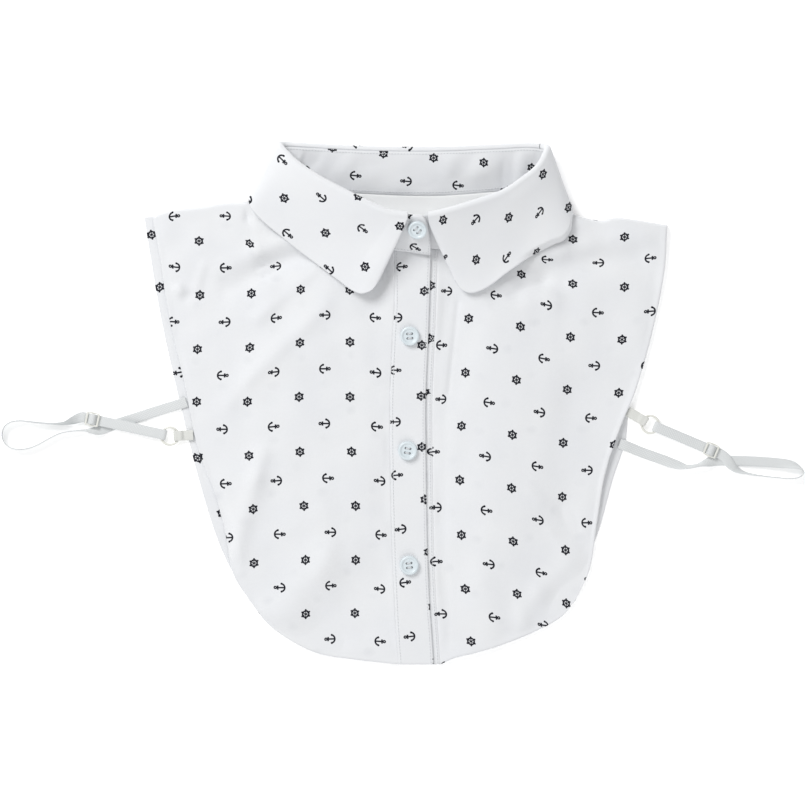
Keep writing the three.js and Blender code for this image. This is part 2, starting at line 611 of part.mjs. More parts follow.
function buildBack() {
  const inset = (row) => ({ x: row.x, y: row.y + SHOULDER_ROLL - BACK_INSET });
  const rightShoulder = curveOf([BACK_RIGHT_SIDE.at(-1), ...RIGHT_SHOULDER.slice(1, -2).map(inset),
    ...BACK_RIGHT_NECK]);
  const leftShoulder = curveOf([...BACK_LEFT_NECK, ...LEFT_SHOULDER.slice(2, -1).map(inset),
    BACK_LEFT_SIDE.at(-1)]);
  const underBack = (t) => underStand(t).setZ(0);
  const neck = splineOf([point(BACK_RIGHT_NECK.at(-1)), underBack(10.3), underBack(11), underBack(12),
    underBack(13), underBack(14), underBack(15), point(BACK_LEFT_NECK[0])]);
  const hem = curveOf(BACK_HEM);
  const right = curveOf(BACK_RIGHT_SIDE);
  const left = curveOf(BACK_LEFT_SIDE);
  const top = joined([rightShoulder, neck, leftShoulder], [0.25, 0.8, 1]);
  const patch = coonsPatch((u) => hem.getPointAt(u), top, (v) => right.getPointAt(v),
    (v) => left.getPointAt(v));
  const middle = (u, v) => {
    const spot = patch(u, v);
    spot.z = PANEL / 2 + collarUnder(spot.x, spot.y);
    return spot;
  };
  const rows = [...steps(8).map((v) => v * 0.8), 0.86, 0.89, 0.92, 0.95, 0.98, 1];
  add("back_panel", clothWall(steps(20), rows, PANEL, middle), cotton());

  const facing = (u, v) => {
    const t = THREE.MathUtils.lerp(FACING.from, FACING.to, u);
    const { base, rise } = ringFrame(t);
    const down = rise.clone().setZ(0).normalize();
    const spot = base.clone().addScaledVector(down, -THREE.MathUtils.lerp(FACING.depth, FACING.short, v));
    spot.z = 1.5 * PANEL + 2 * GAP + collarUnder(spot.x, spot.y);
    return spot;
  };
  add("back_neck_facing", clothWall(steps(14), steps(3), PANEL, facing), material(COLOURS.plainCotton, 0.85));
}

function buildPlackets() {
  add("button_placket", clothWall(steps(3), steps(26), PLACKET, placketPoint), cotton());
  add("under_placket", clothWall(steps(3), steps(26), PLACKET, underPlacketPoint), cotton());
}

function buildCollar() {
  const ringSteps = steps(60).map((s) => s * RING_ROWS);
  add("collar_stand", clothWall(ringSteps, steps(3), STAND, standPoint), cotton());
  const roll = Array.from({ length: ROLL_STEPS }, (_, k) => k / ROLL_STEPS - 1);
  const flat = steps(6);
  add("collar_leaf", clothWall(steps(56), [...roll, ...flat], LEAF, leafPoint), cotton());
}

// A solid of the boolean library from a closed three.js geometry.
function solidOf(geometry) {
  const bare = geometry.clone();
  bare.deleteAttribute("normal");
  bare.deleteAttribute("uv");
  const welded = mergeVertices(bare, 1e-4);
  return new wasm.Manifold(new wasm.Mesh({
    numProp: 3,
    vertProperties: welded.attributes.position.array,
    triVerts: new Uint32Array(welded.index.array),
  }));
}

function geometryOf(solid) {
  const mesh = solid.getMesh();
  const geometry = new THREE.BufferGeometry();
  geometry.setAttribute("position", new THREE.BufferAttribute(mesh.vertProperties, 3));
  geometry.setIndex(new THREE.BufferAttribute(mesh.triVerts, 1));
  geometry.computeVertexNormals();
  return geometry;
}

// A four-hole shirt button with a raised rim and a dished middle, its axis along Z.
function buttonGeometry() {
  const { radius, height, rim, dish } = BUTTON;
  const profile = [
    new THREE.Vector2(0, 0),
    new THREE.Vector2(radius - 0.9, 0),
    new THREE.Vector2(radius, 0.8),
    new THREE.Vector2(radius - 0.3, height - 0.2),
    new THREE.Vector2(radius - rim, height),
    new THREE.Vector2(radius - rim - 0.7, dish),
    new THREE.Vector2(0, dish),
  ];
  let solid = solidOf(new THREE.LatheGeometry(profile, 18).rotateX(Math.PI / 2));
  for (const [sideX, sideY] of [[1, 1], [1, -1], [-1, 1], [-1, -1]]) {
    const hole = new THREE.CylinderGeometry(BUTTON.holeRadius, BUTTON.holeRadius, 3 * height, 6);
    hole.rotateX(Math.PI / 2);
    hole.translate(sideX * BUTTON.holeOffset, sideY * BUTTON.holeOffset, 0);
    solid = solid.subtract(solidOf(hole));
  }
  return geometryOf(solid);
}

function placeButton(name, spot, normal, lift) {
  const mesh = add(name, buttonGeometry(), material(COLOURS.button, 0.35));
  mesh.position.copy(spot).addScaledVector(normal, lift);
  mesh.quaternion.setFromUnitVectors(UP, normal);
}

function buildButtons() {
  PLACKET_BUTTONS.forEach((place, k) => {
    const v = THREE.MathUtils.inverseLerp(PLACKET_ROWS.at(-1).y, PLACKET_ROWS[0].y, place.y);
    const spot = placketPoint(0.5, v);
    const ahead = placketPoint(0.5, v + 0.01).sub(placketPoint(0.5, v - 0.01));
    const normal = new THREE.Vector3(1, 0, 0).cross(ahead).normalize();
    spot.x = place.x;
    placeButton(`placket_button_${k + 1}`, spot, normal, PLACKET / 2 + GAP);
  });
  const { out } = ringFrame(STAND_BUTTON.ring);
  placeButton("stand_button", standPoint(STAND_BUTTON.ring, STAND_BUTTON.share), out, STAND / 2 + 1.5 * GAP);
}

// A flat band along a path of points, each with the direction of its width.
function bandGeometry(path) {
  const vertices = [];
  const direction = (a, b) => b.spot.clone().sub(a.spot).normalize();
  path.forEach((station, k) => {
    const before = k > 0 ? direction(path[k - 1], station) : direction(station, path[k + 1]);
    const after = k < path.length - 1 ? direction(station, path[k + 1]) : before;
    const tangent = before.clone().add(after).normalize();
    const mitre = Math.max(0.6, tangent.dot(before));
    const across = station.across.clone().addScaledVector(tangent, -station.across.dot(tangent)).normalize();
    const face = tangent.clone().cross(across);
    for (const [w, t] of [[-1, -1], [1, -1], [1, 1], [-1, 1]]) {
      vertices.push(station.spot.clone()
        .addScaledVector(across, w * STRAP.width / 2)
        .addScaledVector(face, t * STRAP.thickness / 2 / mitre));
    }
  });
  const faces = [];
  for (let k = 0; k < path.length - 1; k += 1) {
    for (let side = 0; side < 4; side += 1) {
      const a = k * 4 + side;
      const b = k * 4 + (side + 1) % 4;
      faces.push([a, b, b + 4], [a, b + 4, a + 4]);
    }
  }
  const end = (path.length - 1) * 4;
  faces.push([0, 2, 1], [0, 3, 2], [end, end + 1, end + 2], [end, end + 2, end + 3]);
  return closedGeometry(vertices, faces);
}

// Width direction of a band that travels along the tangent with the given lean.
function leanDirection(tangent, lean) {
  const side = tangent.clone().cross(UP).normalize();
  const angle = THREE.MathUtils.degToRad(lean);
  return side.multiplyScalar(Math.cos(angle)).addScaledVector(UP, Math.sin(angle));
}

function slackPath(rows) {
  const middle = curveOf(rows);
  const leans = splineOf(rows.map((row, k) => new THREE.Vector3(k, row.lean, 0)));
  const count = (rows.length - 1) * 2;
  return steps(count).map((t) => ({
    spot: middle.getPoint(t),
    across: leanDirection(middle.getTangent(t), leans.getPoint(t).y),
  }));
}

// The doubled run in the strap's own frame: X from the slider to the ring, Z up.
function doubledRun(length, lift, across) {
  const lower = 0.6 + lift;
  const upper = lower + STRAP.thickness + GAP;
  const overBar = upper + STRAP.thickness + SLIDER.thickness + 2 * GAP;
  const turn = RING.wire + GAP + STRAP.thickness / 2;
  const bend = length + 0.35 - Math.sqrt(RING.radius ** 2 - (STRAP.width / 2) ** 2);
  const arc = [60, 30, 0, -30, -60].map((degrees) => {
    const angle = THREE.MathUtils.degToRad(degrees);
    return [bend + turn * Math.cos(angle), RING.height + turn * Math.sin(angle)];
  });
  const line = [
    [-6.2, upper], [-2.7, upper], [-0.9, overBar], [0.9, overBar], [2.7, upper], [8, upper],
    [length / 2, (upper + RING.height + turn) / 2], [bend - 3, RING.height + turn],
    [bend, RING.height + turn], ...arc, [bend, RING.height - turn], [bend - 3, RING.height - turn],
    [length / 2, (lower + RING.height - turn) / 2], [8, lower], [4.6, lower], [2.6, lower + 0.1],
    [1.0, lower + 0.9], [-0.4, upper],
  ];
  return line.map(([x, z]) => ({ spot: new THREE.Vector3(x, 0, z), across: across.clone() }));
}

// A three-bar slider: a rounded plate with two slots cut through, its underside at Z = 0.
function sliderGeometry() {
  const length = 3 * SLIDER.bar + 2 * SLIDER.slot;
  const width = SLIDER.inner + 2 * SLIDER.rail;
  const deep = 3 * SLIDER.thickness;
  const plate = new THREE.BoxGeometry(length, width, SLIDER.thickness);
  const round = new THREE.CylinderGeometry(length * 0.64, length * 0.64, deep, 24).rotateX(Math.PI / 2);
  let solid = solidOf(plate).intersect(solidOf(round));
  for (const side of [-1, 1]) {
    const slot = new THREE.BoxGeometry(SLIDER.slot, SLIDER.inner, deep);
    slot.translate(side * (SLIDER.bar + SLIDER.slot) / 2, 0, 0);
    solid = solid.subtract(solidOf(slot));
  }
  return geometryOf(solid).translate(0, 0, SLIDER.thickness / 2);
}

// A tape folded round the ring's wire, its two layers joined as far as the front edge.
function tabGeometry(length) {
  const half = RING.wire + GAP;
  const sag = RING.radius - Math.sqrt(RING.radius ** 2 - (TAB.width / 2) ** 2);
  const near = RING.radius - sag - half - 0.3;
  const far = RING.radius + half;
  const z = RING.height;
  const low = z - 0.8;
  const high = low + 2 * TAB.tape;
  const deep = half + TAB.tape;
  const outer = [
    [length, low], [length, high], [far + 2.2, high], [far + 0.4, z + deep], [near - 0.2, z + deep],
    [near - TAB.tape, z + half], [near - TAB.tape, z - half], [near - 0.2, z - deep],
    [far + 0.4, z - deep], [far + 2.2, low],
  ];
  const eye = [
    [near, z - half], [far, z - half], [far + 0.9, z - 0.1], [far, z + half], [near, z + half],
  ];
  const slab = (outline, depth) => {
    const shape = new THREE.Shape(outline.map(([px, pz]) => new THREE.Vector2(px, pz)));
    const geometry = new THREE.ExtrudeGeometry(shape, { depth, bevelEnabled: false });
    return solidOf(geometry.translate(0, 0, -depth / 2).rotateX(Math.PI / 2));
  };
  return geometryOf(slab(outer, TAB.width).subtract(slab(eye, 2 * TAB.width)));
}

function buildStrap({ side, slack, slider, ring, anchor, lift }) {
  const sliderSpot = point(slider);
  const ringSpot = point(ring);
  const frame = new THREE.Group();
  frame.position.copy(sliderSpot);
  frame.rotation.z = Math.atan2(ring.y - slider.y, ring.x - slider.x);
  frame.updateMatrixWorld(true);
  group.add(frame);
  const run = doubledRun(sliderSpot.distanceTo(ringSpot), lift, new THREE.Vector3(0, 1, 0));
  for (const station of run) {
    station.spot.applyMatrix4(frame.matrixWorld);
    station.across.transformDirection(frame.matrixWorld);
  }
  const slackStations = slackPath(slack);
  if (slackStations.at(-1).across.dot(run[0].across) < 0) {
    run.forEach((station) => station.across.negate());
  }
  add(`strap_${side}`, bandGeometry([...slackStations, ...run]), material(COLOURS.elastic, 0.9));

  const bars = add(`strap_slider_${side}`, sliderGeometry(), material(COLOURS.hardware, 0.3), frame);
  bars.position.z = 0.6 + lift + 1.5 * STRAP.thickness + 2 * GAP;
  const hoop = new THREE.TorusGeometry(RING.radius, RING.wire, 6, 16);
  const loop = add(`strap_ring_${side}`, hoop, material(COLOURS.hardware, 0.3));
  loop.position.copy(ringSpot).setZ(RING.height);
  const tape = tabGeometry(ringSpot.distanceTo(point(anchor)));
  const tab = add(`ring_tab_${side}`, tape, material(COLOURS.tape, 0.9));
  tab.position.copy(ringSpot);
  tab.rotation.z = Math.atan2(anchor.y - ring.y, anchor.x - ring.x);
}

buildBack();
buildRightFront();
buildLeftFront();
buildPlackets();
buildCollar();
buildButtons();
STRAPS.forEach(buildStrap);

// The origin is the middle of the whole garment's outline, on the table.
const bounds = new THREE.Box3().setFromObject(group);
group.position.set(-(bounds.min.x + bounds.max.x) / 2, -(bounds.min.y + bounds.max.y) / 2, -bounds.min.z);

export default group;
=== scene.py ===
"""Visual model of a detachable shirt collar with a bib front and back, laid flat on its back.

Tables are in millimetres in the garment's own frame: +X towards the wearer's left side, +Y from
the hem to the neck and +Z up from the table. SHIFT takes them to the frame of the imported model.
"""

import logging
import math
from dataclasses import dataclass, field
from enum import Enum
from typing import Any, Callable, ClassVar, Sequence

import bmesh
import bpy
import numpy as np
from mathutils import Matrix, Vector


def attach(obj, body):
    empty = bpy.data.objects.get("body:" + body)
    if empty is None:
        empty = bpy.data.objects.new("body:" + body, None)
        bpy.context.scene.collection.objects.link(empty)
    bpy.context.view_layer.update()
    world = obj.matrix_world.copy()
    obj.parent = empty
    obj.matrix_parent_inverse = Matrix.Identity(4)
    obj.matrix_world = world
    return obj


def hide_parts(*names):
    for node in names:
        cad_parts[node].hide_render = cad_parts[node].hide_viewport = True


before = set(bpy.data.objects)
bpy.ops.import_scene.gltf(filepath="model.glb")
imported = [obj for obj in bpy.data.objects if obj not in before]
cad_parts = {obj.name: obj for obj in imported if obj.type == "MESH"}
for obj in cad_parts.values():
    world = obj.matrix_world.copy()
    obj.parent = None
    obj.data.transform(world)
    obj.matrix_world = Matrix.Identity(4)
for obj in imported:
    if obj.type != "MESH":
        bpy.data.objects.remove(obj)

LOG = logging.getLogger("shirt_collar")

# Short names of the types that pass between the functions.
Array = np.ndarray
Material = bpy.types.Material
Piece = bpy.types.Object
Mesh = bpy.types.Mesh
Tree = bpy.types.NodeTree
Node = bpy.types.Node
Socket = bpy.types.NodeSocket
Rows = Sequence[Sequence[float]]
Curve = Callable[[Any], Array]
Surface = Callable[[Any, Any], Array]

# Metres in a millimetre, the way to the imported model's origin, and which parts of a place are
# level and which is up.
MM = 0.001
SHIFT = np.array([-0.282, 0.082, 0.0])
LEVEL = np.array([1.0, 1.0, 0.0])
UP = np.array([0.0, 0.0, 1.0])

# Cloth thicknesses of the solids, and the clearance that neighbouring layers keep.
PANEL = 1.0
PLACKET = 1.2
STAND = 1.3
LEAF = 1.2
GAP = 0.3

# Leaf's roll over the stand. The fronts' roll at the shoulder, the height that it comes down to,
# and how far the back panel's edge keeps behind it.
ROLL_RADIUS = 1.9
SHOULDER_ROLL = 2.2
SHOULDER_FLOOR = 0.75
BACK_INSET = 3.2

# Lower placket: how far it shows beside the upper one, starts inside it and lies below it.
UNDER_SHOWS = 4.3
UNDER_STARTS = 2.6
PLACKET_STEP = 1.55

# Strength of the ink on the cloth's wrong side.
WRONG_SIDE_INK = 0.08

# One repeat of the print: ship's wheels at its corners and an anchor in its middle.
REPEAT_ACROSS = 31.6
REPEAT_DOWN = 33.2

# Stand's lower edge (x, y, z) and outermost line of the collar's fold (x, y, z), round the neck.
NECK_RING = (
    (17.2, 92.3, 12.5, 16.8, 106.5, 21.2),
    (12.5, 92.5, 12.5, 12.6, 117.6, 28.1),
    (5, 93.9, 12.3, 4.0, 118.4, 28.2),
    (-12, 96.0, 11.8, -7.0, 119.9, 27.8),
    (-35, 102.5, 10.8, -23.3, 126.8, 26.0),
    (-52, 110.0, 9.8, -38.5, 134.4, 23.5),
    (-66, 118.5, 9.0, -53.0, 142.3, 20.8),
    (-77, 126.0, 8.3, -63.6, 149.7, 17.8),
    (-84, 131.5, 7.3, -70.3, 156.2, 14.6),
    (-86.3, 134.4, 6.3, -73.2, 160.3, 11.6),
    (-82, 134.8, 5.3, -70.5, 161.0, 9.4),
    (-68, 132.8, 4.5, -58.0, 160.5, 8.6),
    (-30, 129.9, 4.35, -28.0, 159.0, 8.4),
    (21, 128.4, 4.35, 19.0, 158.3, 8.4),
    (61, 131.2, 4.35, 58.0, 159.7, 8.6),
    (88.6, 134.2, 5.0, 78.2, 160.3, 9.2),
    (98.4, 131.5, 6.6, 86.6, 158.6, 11.8),
    (97.6, 126.0, 7.9, 85.4, 153.3, 15.0),
    (91.8, 119.5, 8.8, 81.2, 146.6, 18.5),
    (82, 112.0, 9.6, 72.9, 139.8, 21.5),
    (66, 105.0, 10.2, 60.5, 131.8, 23.8),
    (45, 98.5, 10.6, 43.0, 125.7, 25.2),
    (24, 95.2, 10.6, 23.3, 120.0, 25.8),
    (10, 96.6, 10.5, 10.0, 117.8, 25.8),
    (0, 97.0, 10.5, -1.0, 118.2, 25.7),
)

# Collar's free edge: place on the neck ring, x, y, z, and the level stretch inside the edge.
LEAF_EDGE = (
    (2.08, -14.6, 75.3, 17.6, 5),
    (2.2, -18.9, 69.8, 17.0, 6),
    (2.4, -25.1, 67.6, 15.6, 8),
    (2.7, -31.3, 69.8, 13.8, 10),
    (3.0, -38.8, 75.3, 12.2, 12),
    (3.7, -51.2, 84.6, 10.9, 13),
    (4.5, -63.6, 93.9, 10.4, 13),
    (5.6, -76.0, 103.9, 10.4, 12),
    (6.8, -87.1, 113.2, 10.2, 10),
    (7.7, -93.9, 121.2, 9.4, 8),
    (8.5, -95.0, 125.6, 7.2, 7),
    (9.0, -94.8, 128.2, 4.4, 7),
    (9.5, -93.2, 127.2, 1.6, 9),
    (10.0, -88.0, 121.0, 0.75, 16),
    (11.0, -72.0, 117.5, 0.65, 29),
    (12.0, -30.0, 115.0, 0.65, 31),
    (13.0, 21.0, 113.5, 0.65, 31),
    (14.0, 61.0, 115.0, 0.65, 31),
    (15.0, 92.0, 117.0, 0.65, 25),
    (15.7, 100.8, 117.4, 0.8, 15),
    (16.1, 104.8, 119.8, 2.6, 8),
    (16.5, 105.3, 118.7, 7.5, 7),
    (16.9, 105.0, 113.5, 10.4, 8),
    (17.5, 103.9, 106.7, 12.6, 9),
    (18.2, 99.9, 100.8, 13.6, 10),
    (18.9, 94.0, 98.2, 14.0, 12),
    (19.9, 78.6, 90.2, 13.8, 13),
    (20.7, 65.4, 81.2, 13.6, 14),
    (21.3, 54.0, 72.6, 12.5, 14),
    (21.7, 47.2, 69.1, 12.1, 14),
    (22.05, 41.5, 68.1, 11.9, 14),
    (22.35, 36.2, 70.4, 12.0, 14),
    (22.55, 32.2, 76.2, 12.4, 14),
)

# Outlines of the front halves (x, y, z), on the wearer's right and left.
RIGHT_SIDE = (
    (-94.5, -123.0, 2.0), (-104.5, -107.0, 2.0), (-109.4, -82.0, 2.0), (-115.0, -60.0, 2.0),
    (-126.8, -27.6, 2.0), (-134.2, 9.0, 2.0), (-144.2, 52.4, 2.1), (-150.3, 91.5, 2.2),
    (-154.5, 113.0, 2.6),
)
RIGHT_HEM = (
    (-94.5, -123.0, 2.0), (-84.3, -136.1, 2.0), (-67.3, -148.5, 2.0), (-51.2, -155.6, 2.1),
    (-30.0, -159.0, 2.8), (-2.6, -161.5, 3.7),
)
RIGHT_SHOULDER = (
    (-154.5, 113.0, 2.6), (-148.0, 116.0, 4.2), (-125.6, 118.9, 4.8), (-110.0, 121.4, 5.2),
    (-98.0, 121.8, 6.2), (-91.5, 123.0, 6.8), (-88.6, 127.8, 6.5),
)
LEFT_SIDE = (
    (107.0, -122.7, 2.0), (115.6, -103.9, 2.0), (120.4, -73.5, 2.9), (125.6, -43.1, 3.9),
    (135.5, -13.6, 4.1), (143.2, 4.7, 3.7), (154.1, 41.9, 2.9), (162.1, 82.2, 3.2),
    (163.6, 107.4, 4.2),
)
LEFT_HEM = (
    (23.6, -160.2, 2.2), (32.0, -158.2, 3.6), (45.0, -155.0, 4.6), (58.0, -151.2, 3.4),
    (80.9, -142.3, 2.2), (98.3, -132.7, 2.0), (107.0, -122.7, 2.0),
)
LEFT_SHOULDER = (
    (98.9, 121.6, 6.6), (101.3, 117.0, 6.8), (107.6, 113.4, 6.4), (117.5, 110.9, 5.0),
    (123.5, 110.2, 4.8), (131.0, 112.0, 5.0), (147.3, 110.2, 4.8), (163.6, 107.4, 4.2),
)

# Outline of the back panel (x, y): sides from the hem up, hem, and corners inside the collar.
BACK_RIGHT_SIDE = (
    (-84.0, -129.0), (-100.0, -113.0), (-112.5, -89.6), (-125.6, -48.7), (-138.0, 1.6),
    (-148.5, 48.1), (-156.6, 94.6), (-159.6, 114.6),
)
BACK_LEFT_SIDE = (
    (90.0, -126.0), (108.0, -105.0), (119.0, -85.9), (130.4, -46.8), (138.0, -23.3),
    (139.6, -8.0), (146.0, 30.0), (158.0, 88.0), (160.4, 105.6),
)
BACK_HEM = (
    (-84.0, -129.0), (-62.0, -142.0), (-30.0, -150.0), (5.0, -152.0), (40.0, -148.5),
    (68.0, -140.0), (90.0, -126.0),
)
BACK_RIGHT_NECK = ((-89.4, 121.4), (-86.2, 130.0))
BACK_LEFT_NECK = ((98.2, 124.0), (100.0, 116.8))

# Upper placket from the neck seam to the hem: y, left edge, right edge, height of its middle.
PLACKET_ROWS = (
    (94.7, -5.0, 17.3, 10.5), (63.6, -4.6, 16.4, 9.7), (38.8, -5.9, 15.5, 8.6),
    (1.6, -7.4, 14.0, 7.2), (-48.0, -7.1, 14.3, 6.0), (-94.6, -5.9, 15.2, 5.0),
    (-123.0, -4.7, 16.4, 4.5), (-147.0, -3.4, 18.0, 4.1), (-162.0, -2.2, 18.9, 3.9),
)

# Soft folds of the front halves: line from (x, y) to (x, y), half width, height.
FOLDS = (
    (-70, 20, -60, -70, 42, 3.2), (-120, 79, -66, 90, 9, -1.5), (-84, 68, -88, 54, 9, 1.2),
    (-46, 68, -104, 4, 10, 1.3), (-88, -34, -104, -96, 10, 1.3), (-46, -98, -81, -134, 13, 3.3),
    (66, 20, 62, -80, 36, 3.0), (84, 92, 106, 106, 9, 1.0), (78, 78, 145, 93, 10, -1.7),
    (33, 62, 32, 8, 7, -0.9), (90, -112, 108, -124, 11, -0.8),
    (50, -112, 60, -146, 11, 1.2),
)

# Finer creases that only the cloth shows, in the same columns.
CREASES = (
    (-97, 125, -95.5, 114, 2.4, -2.2), (-87, 107, -78, 101, 5.0, 0.9),
    (-70, 101, -90, 93, 6.5, 2.5), (-90, 93, -115, 81, 6.5, 1.7), (-65, 90, -85, 81.5, 6.0, -2.4),
    (-85, 81.5, -109, 69, 6.0, -1.7), (-138.5, 70.5, -138, 69.5, 3.4, 1.9),
    (-134, 64, -131, 67, 3.0, -0.7), (-123, 85, -127.5, 71, 3.2, 0.9),
    (-128, 100, -140, 84, 7.0, 0.4), (-56, 81, -89, 53, 4.5, 1.1),
    (-48, 60, -96, 14, 5.0, 0.9), (-95, 15, -107, 0, 5.0, 0.6),
    (-86.5, -32, -91, -47, 4.6, 1.1), (-91, -47, -104, -92, 6.2, 1.7),
    (-44, -88, -52, -104, 5.5, 0.7), (-30, -112, -44, -146, 12.0, -0.7),
    (-13, 84, -20, 60, 7.0, -1.2), (90, 67, 93, 63, 6.0, 1.2),
    (58, 65, 69, 66, 6.0, -2.0), (75, 73, 86, 75, 5.5, -2.0), (86, 76, 99, 74, 4.0, -0.8),
    (80, 89, 98, 93, 5.5, 1.4), (98, 93, 117, 99, 7.0, 1.1), (117, 99, 148, 103, 8.0, 0.5),
    (108, 84, 148, 80, 10.0, -0.5), (34.5, 62, 28.5, 6, 1.6, -0.55),
    (31.5, 60, 26.0, 8, 3.0, 0.3),
    (118, 98, 150, 102, 6.0, 0.5), (132, 60, 146, 46, 7.0, 0.4),
    (109, 5, 99, -72, 16.0, -1.5),
    (99, -65, 112, -90, 4.5, -0.6), (92, -80, 99, -90, 4.0, 0.5),
    (80, -54, 85, -61, 4.5, 0.5), (72, -116, 75, -140, 5.0, 0.7),
    (74, -134, 84, -118, 7.0, 1.4), (84, -118, 102, -100, 7.0, 1.3),
)

# Slack of the elastic straps: band's middle (x, y, z) and its lean in degrees, 90 on edge.
RIGHT_SLACK = (
    (-133.9, 0.4, 1.8, 180), (-138.4, -1.1, 1.8, 180), (-142.5, -2.4, 1.2, 178),
    (-148.0, -4.0, 0.8, 176), (-158.0, -7.2, 0.8, 176), (-168.0, -10.4, 0.6, 179),
    (-176.0, -12.9, 0.55, 180), (-183.5, -15.7, 0.55, 180), (-188.0, -17.2, 1.75, 158),
    (-192.0, -17.6, 3.05, 125), (-197.0, -17.2, 3.35, 98), (-204.0, -17.6, 3.35, 92),
    (-212.4, -19.2, 3.35, 90), (-220.4, -23.0, 3.35, 90), (-227.9, -27.0, 3.35, 90),
    (-235.0, -28.9, 3.35, 88), (-242.1, -28.3, 3.35, 88), (-246.6, -25.1, 3.35, 88),
    (-248.2, -20.2, 3.35, 90), (-246.9, -15.2, 3.35, 90), (-243.0, -12.2, 3.35, 90),
    (-237.2, -11.3, 3.35, 92), (-229.7, -12.0, 3.35, 94), (-217.9, -13.1, 3.4, 96),
    (-209.5, -12.8, 3.5, 108), (-203.5, -10.8, 3.3, 145),
)
LEFT_SLACK = (
    (134.4, -25.4, 1.8, 0), (138.4, -26.9, 1.8, 0), (142.5, -28.5, 1.2, 3),
    (147.5, -30.6, 0.8, 5), (155.0, -33.3, 0.8, 5), (163.4, -36.3, 1.1, 10),
    (170.0, -38.6, 2.1, 30), (176.0, -39.9, 3.25, 68), (183.0, -38.9, 3.35, 74),
    (189.0, -37.2, 2.25, 34), (194.0, -36.2, 0.78, 5), (200.0, -36.0, 0.55, 0),
    (207.0, -36.2, 0.6, 3), (215.0, -36.4, 1.0, 9), (225.0, -36.9, 1.35, 15),
    (235.0, -37.7, 1.75, 22), (241.5, -38.6, 2.7, 42), (246.0, -40.4, 3.2, 75),
    (248.6, -43.2, 3.35, 88), (246.4, -46.0, 3.35, 90), (240.3, -47.1, 3.35, 90),
    (232.8, -46.6, 3.35, 90), (222.0, -45.4, 3.35, 92), (213.0, -43.8, 3.3, 100),
    (207.0, -41.6, 2.9, 128), (202.8, -37.8, 2.1, 165), (200.2, -34.4, 1.8, 178),
)


def smooth(low: float, high: float, value: Any) -> Any:
    """Ease from 0 at low to 1 at high."""
    share = np.clip((np.asarray(value, dtype=float) - low) / (high - low), 0.0, 1.0)
    return share * share * (3.0 - 2.0 * share)


def between(rise: tuple[float, float], fall: tuple[float, float], value: Any) -> Any:
    """Step that eases from 0 to 1 over the first span and back to 0 over the second."""
    return smooth(*rise, value) * (1 - smooth(*fall, value))


def unit(vectors: Array) -> Array:
    """Vectors scaled to length one."""
    length = np.linalg.norm(vectors, axis=-1, keepdims=True)
    return vectors / np.maximum(length, 1e-12)


def linear(code: str) -> tuple[float, float, float, float]:
    """Turn an sRGB hex colour into the linear colour that a shader takes.

    Args:
        code: Six hex digits.

    Returns:
        Red, green, blue and an alpha of one.
    """
    parts = [int(code[k:k + 2], 16) / 255.0 for k in (0, 2, 4)]
    red, green, blue = ((c / 12.92) if c <= 0.04045 else ((c + 0.055) / 1.055) ** 2.4 for c in parts)
    return (red, green, blue, 1.0)


class Spline:
    """Centripetal Catmull-Rom curve through rows of numbers."""

    def __init__(self, rows: Rows) -> None:
        """Work out each span's cubic and the table of arc lengths.

        Args:
            rows: Points that the curve passes through, in order.
        """
        points = np.array(rows, dtype=float)
        ends = np.vstack([2 * points[0] - points[1], points, 2 * points[-1] - points[-2]])
        steps = np.maximum(np.sum(np.diff(ends, axis=0) ** 2, axis=1) ** 0.25, 1e-6)
        spans = []
        for k in range(len(points) - 1):
            p0, p1, p2, p3 = ends[k:k + 4]
            d0, d1, d2 = steps[k:k + 3]
            start = ((p1 - p0) / d0 - (p2 - p0) / (d0 + d1) + (p2 - p1) / d1) * d1
            stop = ((p2 - p1) / d1 - (p3 - p1) / (d1 + d2) + (p3 - p2) / d2) * d1
            spans.append([p1, start, 3 * (p2 - p1) - 2 * start - stop, 2 * (p1 - p2) + start + stop])
        self.spans = np.array(spans)
        self.places = np.linspace(0.0, 1.0, 201)
        walk = np.linalg.norm(np.diff(self.at(self.places), axis=0), axis=1)
        self.lengths = np.concatenate([[0.0], np.cumsum(walk)])

    def at(self, place: Any) -> Array:
        """Points at places counted by rows, from 0 to 1."""
        count = len(self.spans)
        spot = np.clip(np.asarray(place, dtype=float), 0.0, 1.0) * count
        span = np.minimum(spot.astype(int), count - 1)
        rest = (spot - span)[..., None]
        cubic = self.spans[span]
        return cubic[..., 0, :] + rest * (
            cubic[..., 1, :] + rest * (cubic[..., 2, :] + rest * cubic[..., 3, :]))

    def along(self, share: Any) -> Array:
        """Points at shares of the curve's length."""
        wanted = np.clip(np.asarray(share, dtype=float), 0.0, 1.0) * self.lengths[-1]
        return self.at(np.interp(wanted, self.lengths, self.places))


def flat_curve(rows: Rows) -> Spline:
    """Curve through rows of x and y on the table."""
    return Spline([(x, y, 0) for x, y, *_ in rows])


def joined(first: Spline, second: Spline, meet: float) -> Curve:
    """One boundary made of two curves that meet at a share of the way."""
    def curve(share: Any) -> Array:
        """Point of the joined boundary."""
        share = np.asarray(share, dtype=float)
        early = first.along(share / meet)
        late = second.along((share - meet) / (1.0 - meet))
        return np.where((share <= meet)[..., None], early, late)
    return curve


def coons(bottom: Curve, top: Curve, left: Curve, right: Curve) -> Surface:
    """Surface spanned between four boundary curves that share their corners."""
    low = (bottom(np.array(0.0)), bottom(np.array(1.0)))
    high = (top(np.array(0.0)), top(np.array(1.0)))

    def surface(u: Any, v: Any) -> Array:
        """Point of the surface."""
        a, b = np.asarray(u, dtype=float)[..., None], np.asarray(v, dtype=float)[..., None]
        ruled = bottom(u) * (1 - b) + top(u) * b + left(v) * (1 - a) + right(v) * a
        bent = low[0] * (1 - a) * (1 - b) + low[1] * a * (1 - b) + high[0] * (1 - a) * b + high[1] * a * b
        return ruled - bent
    return surface


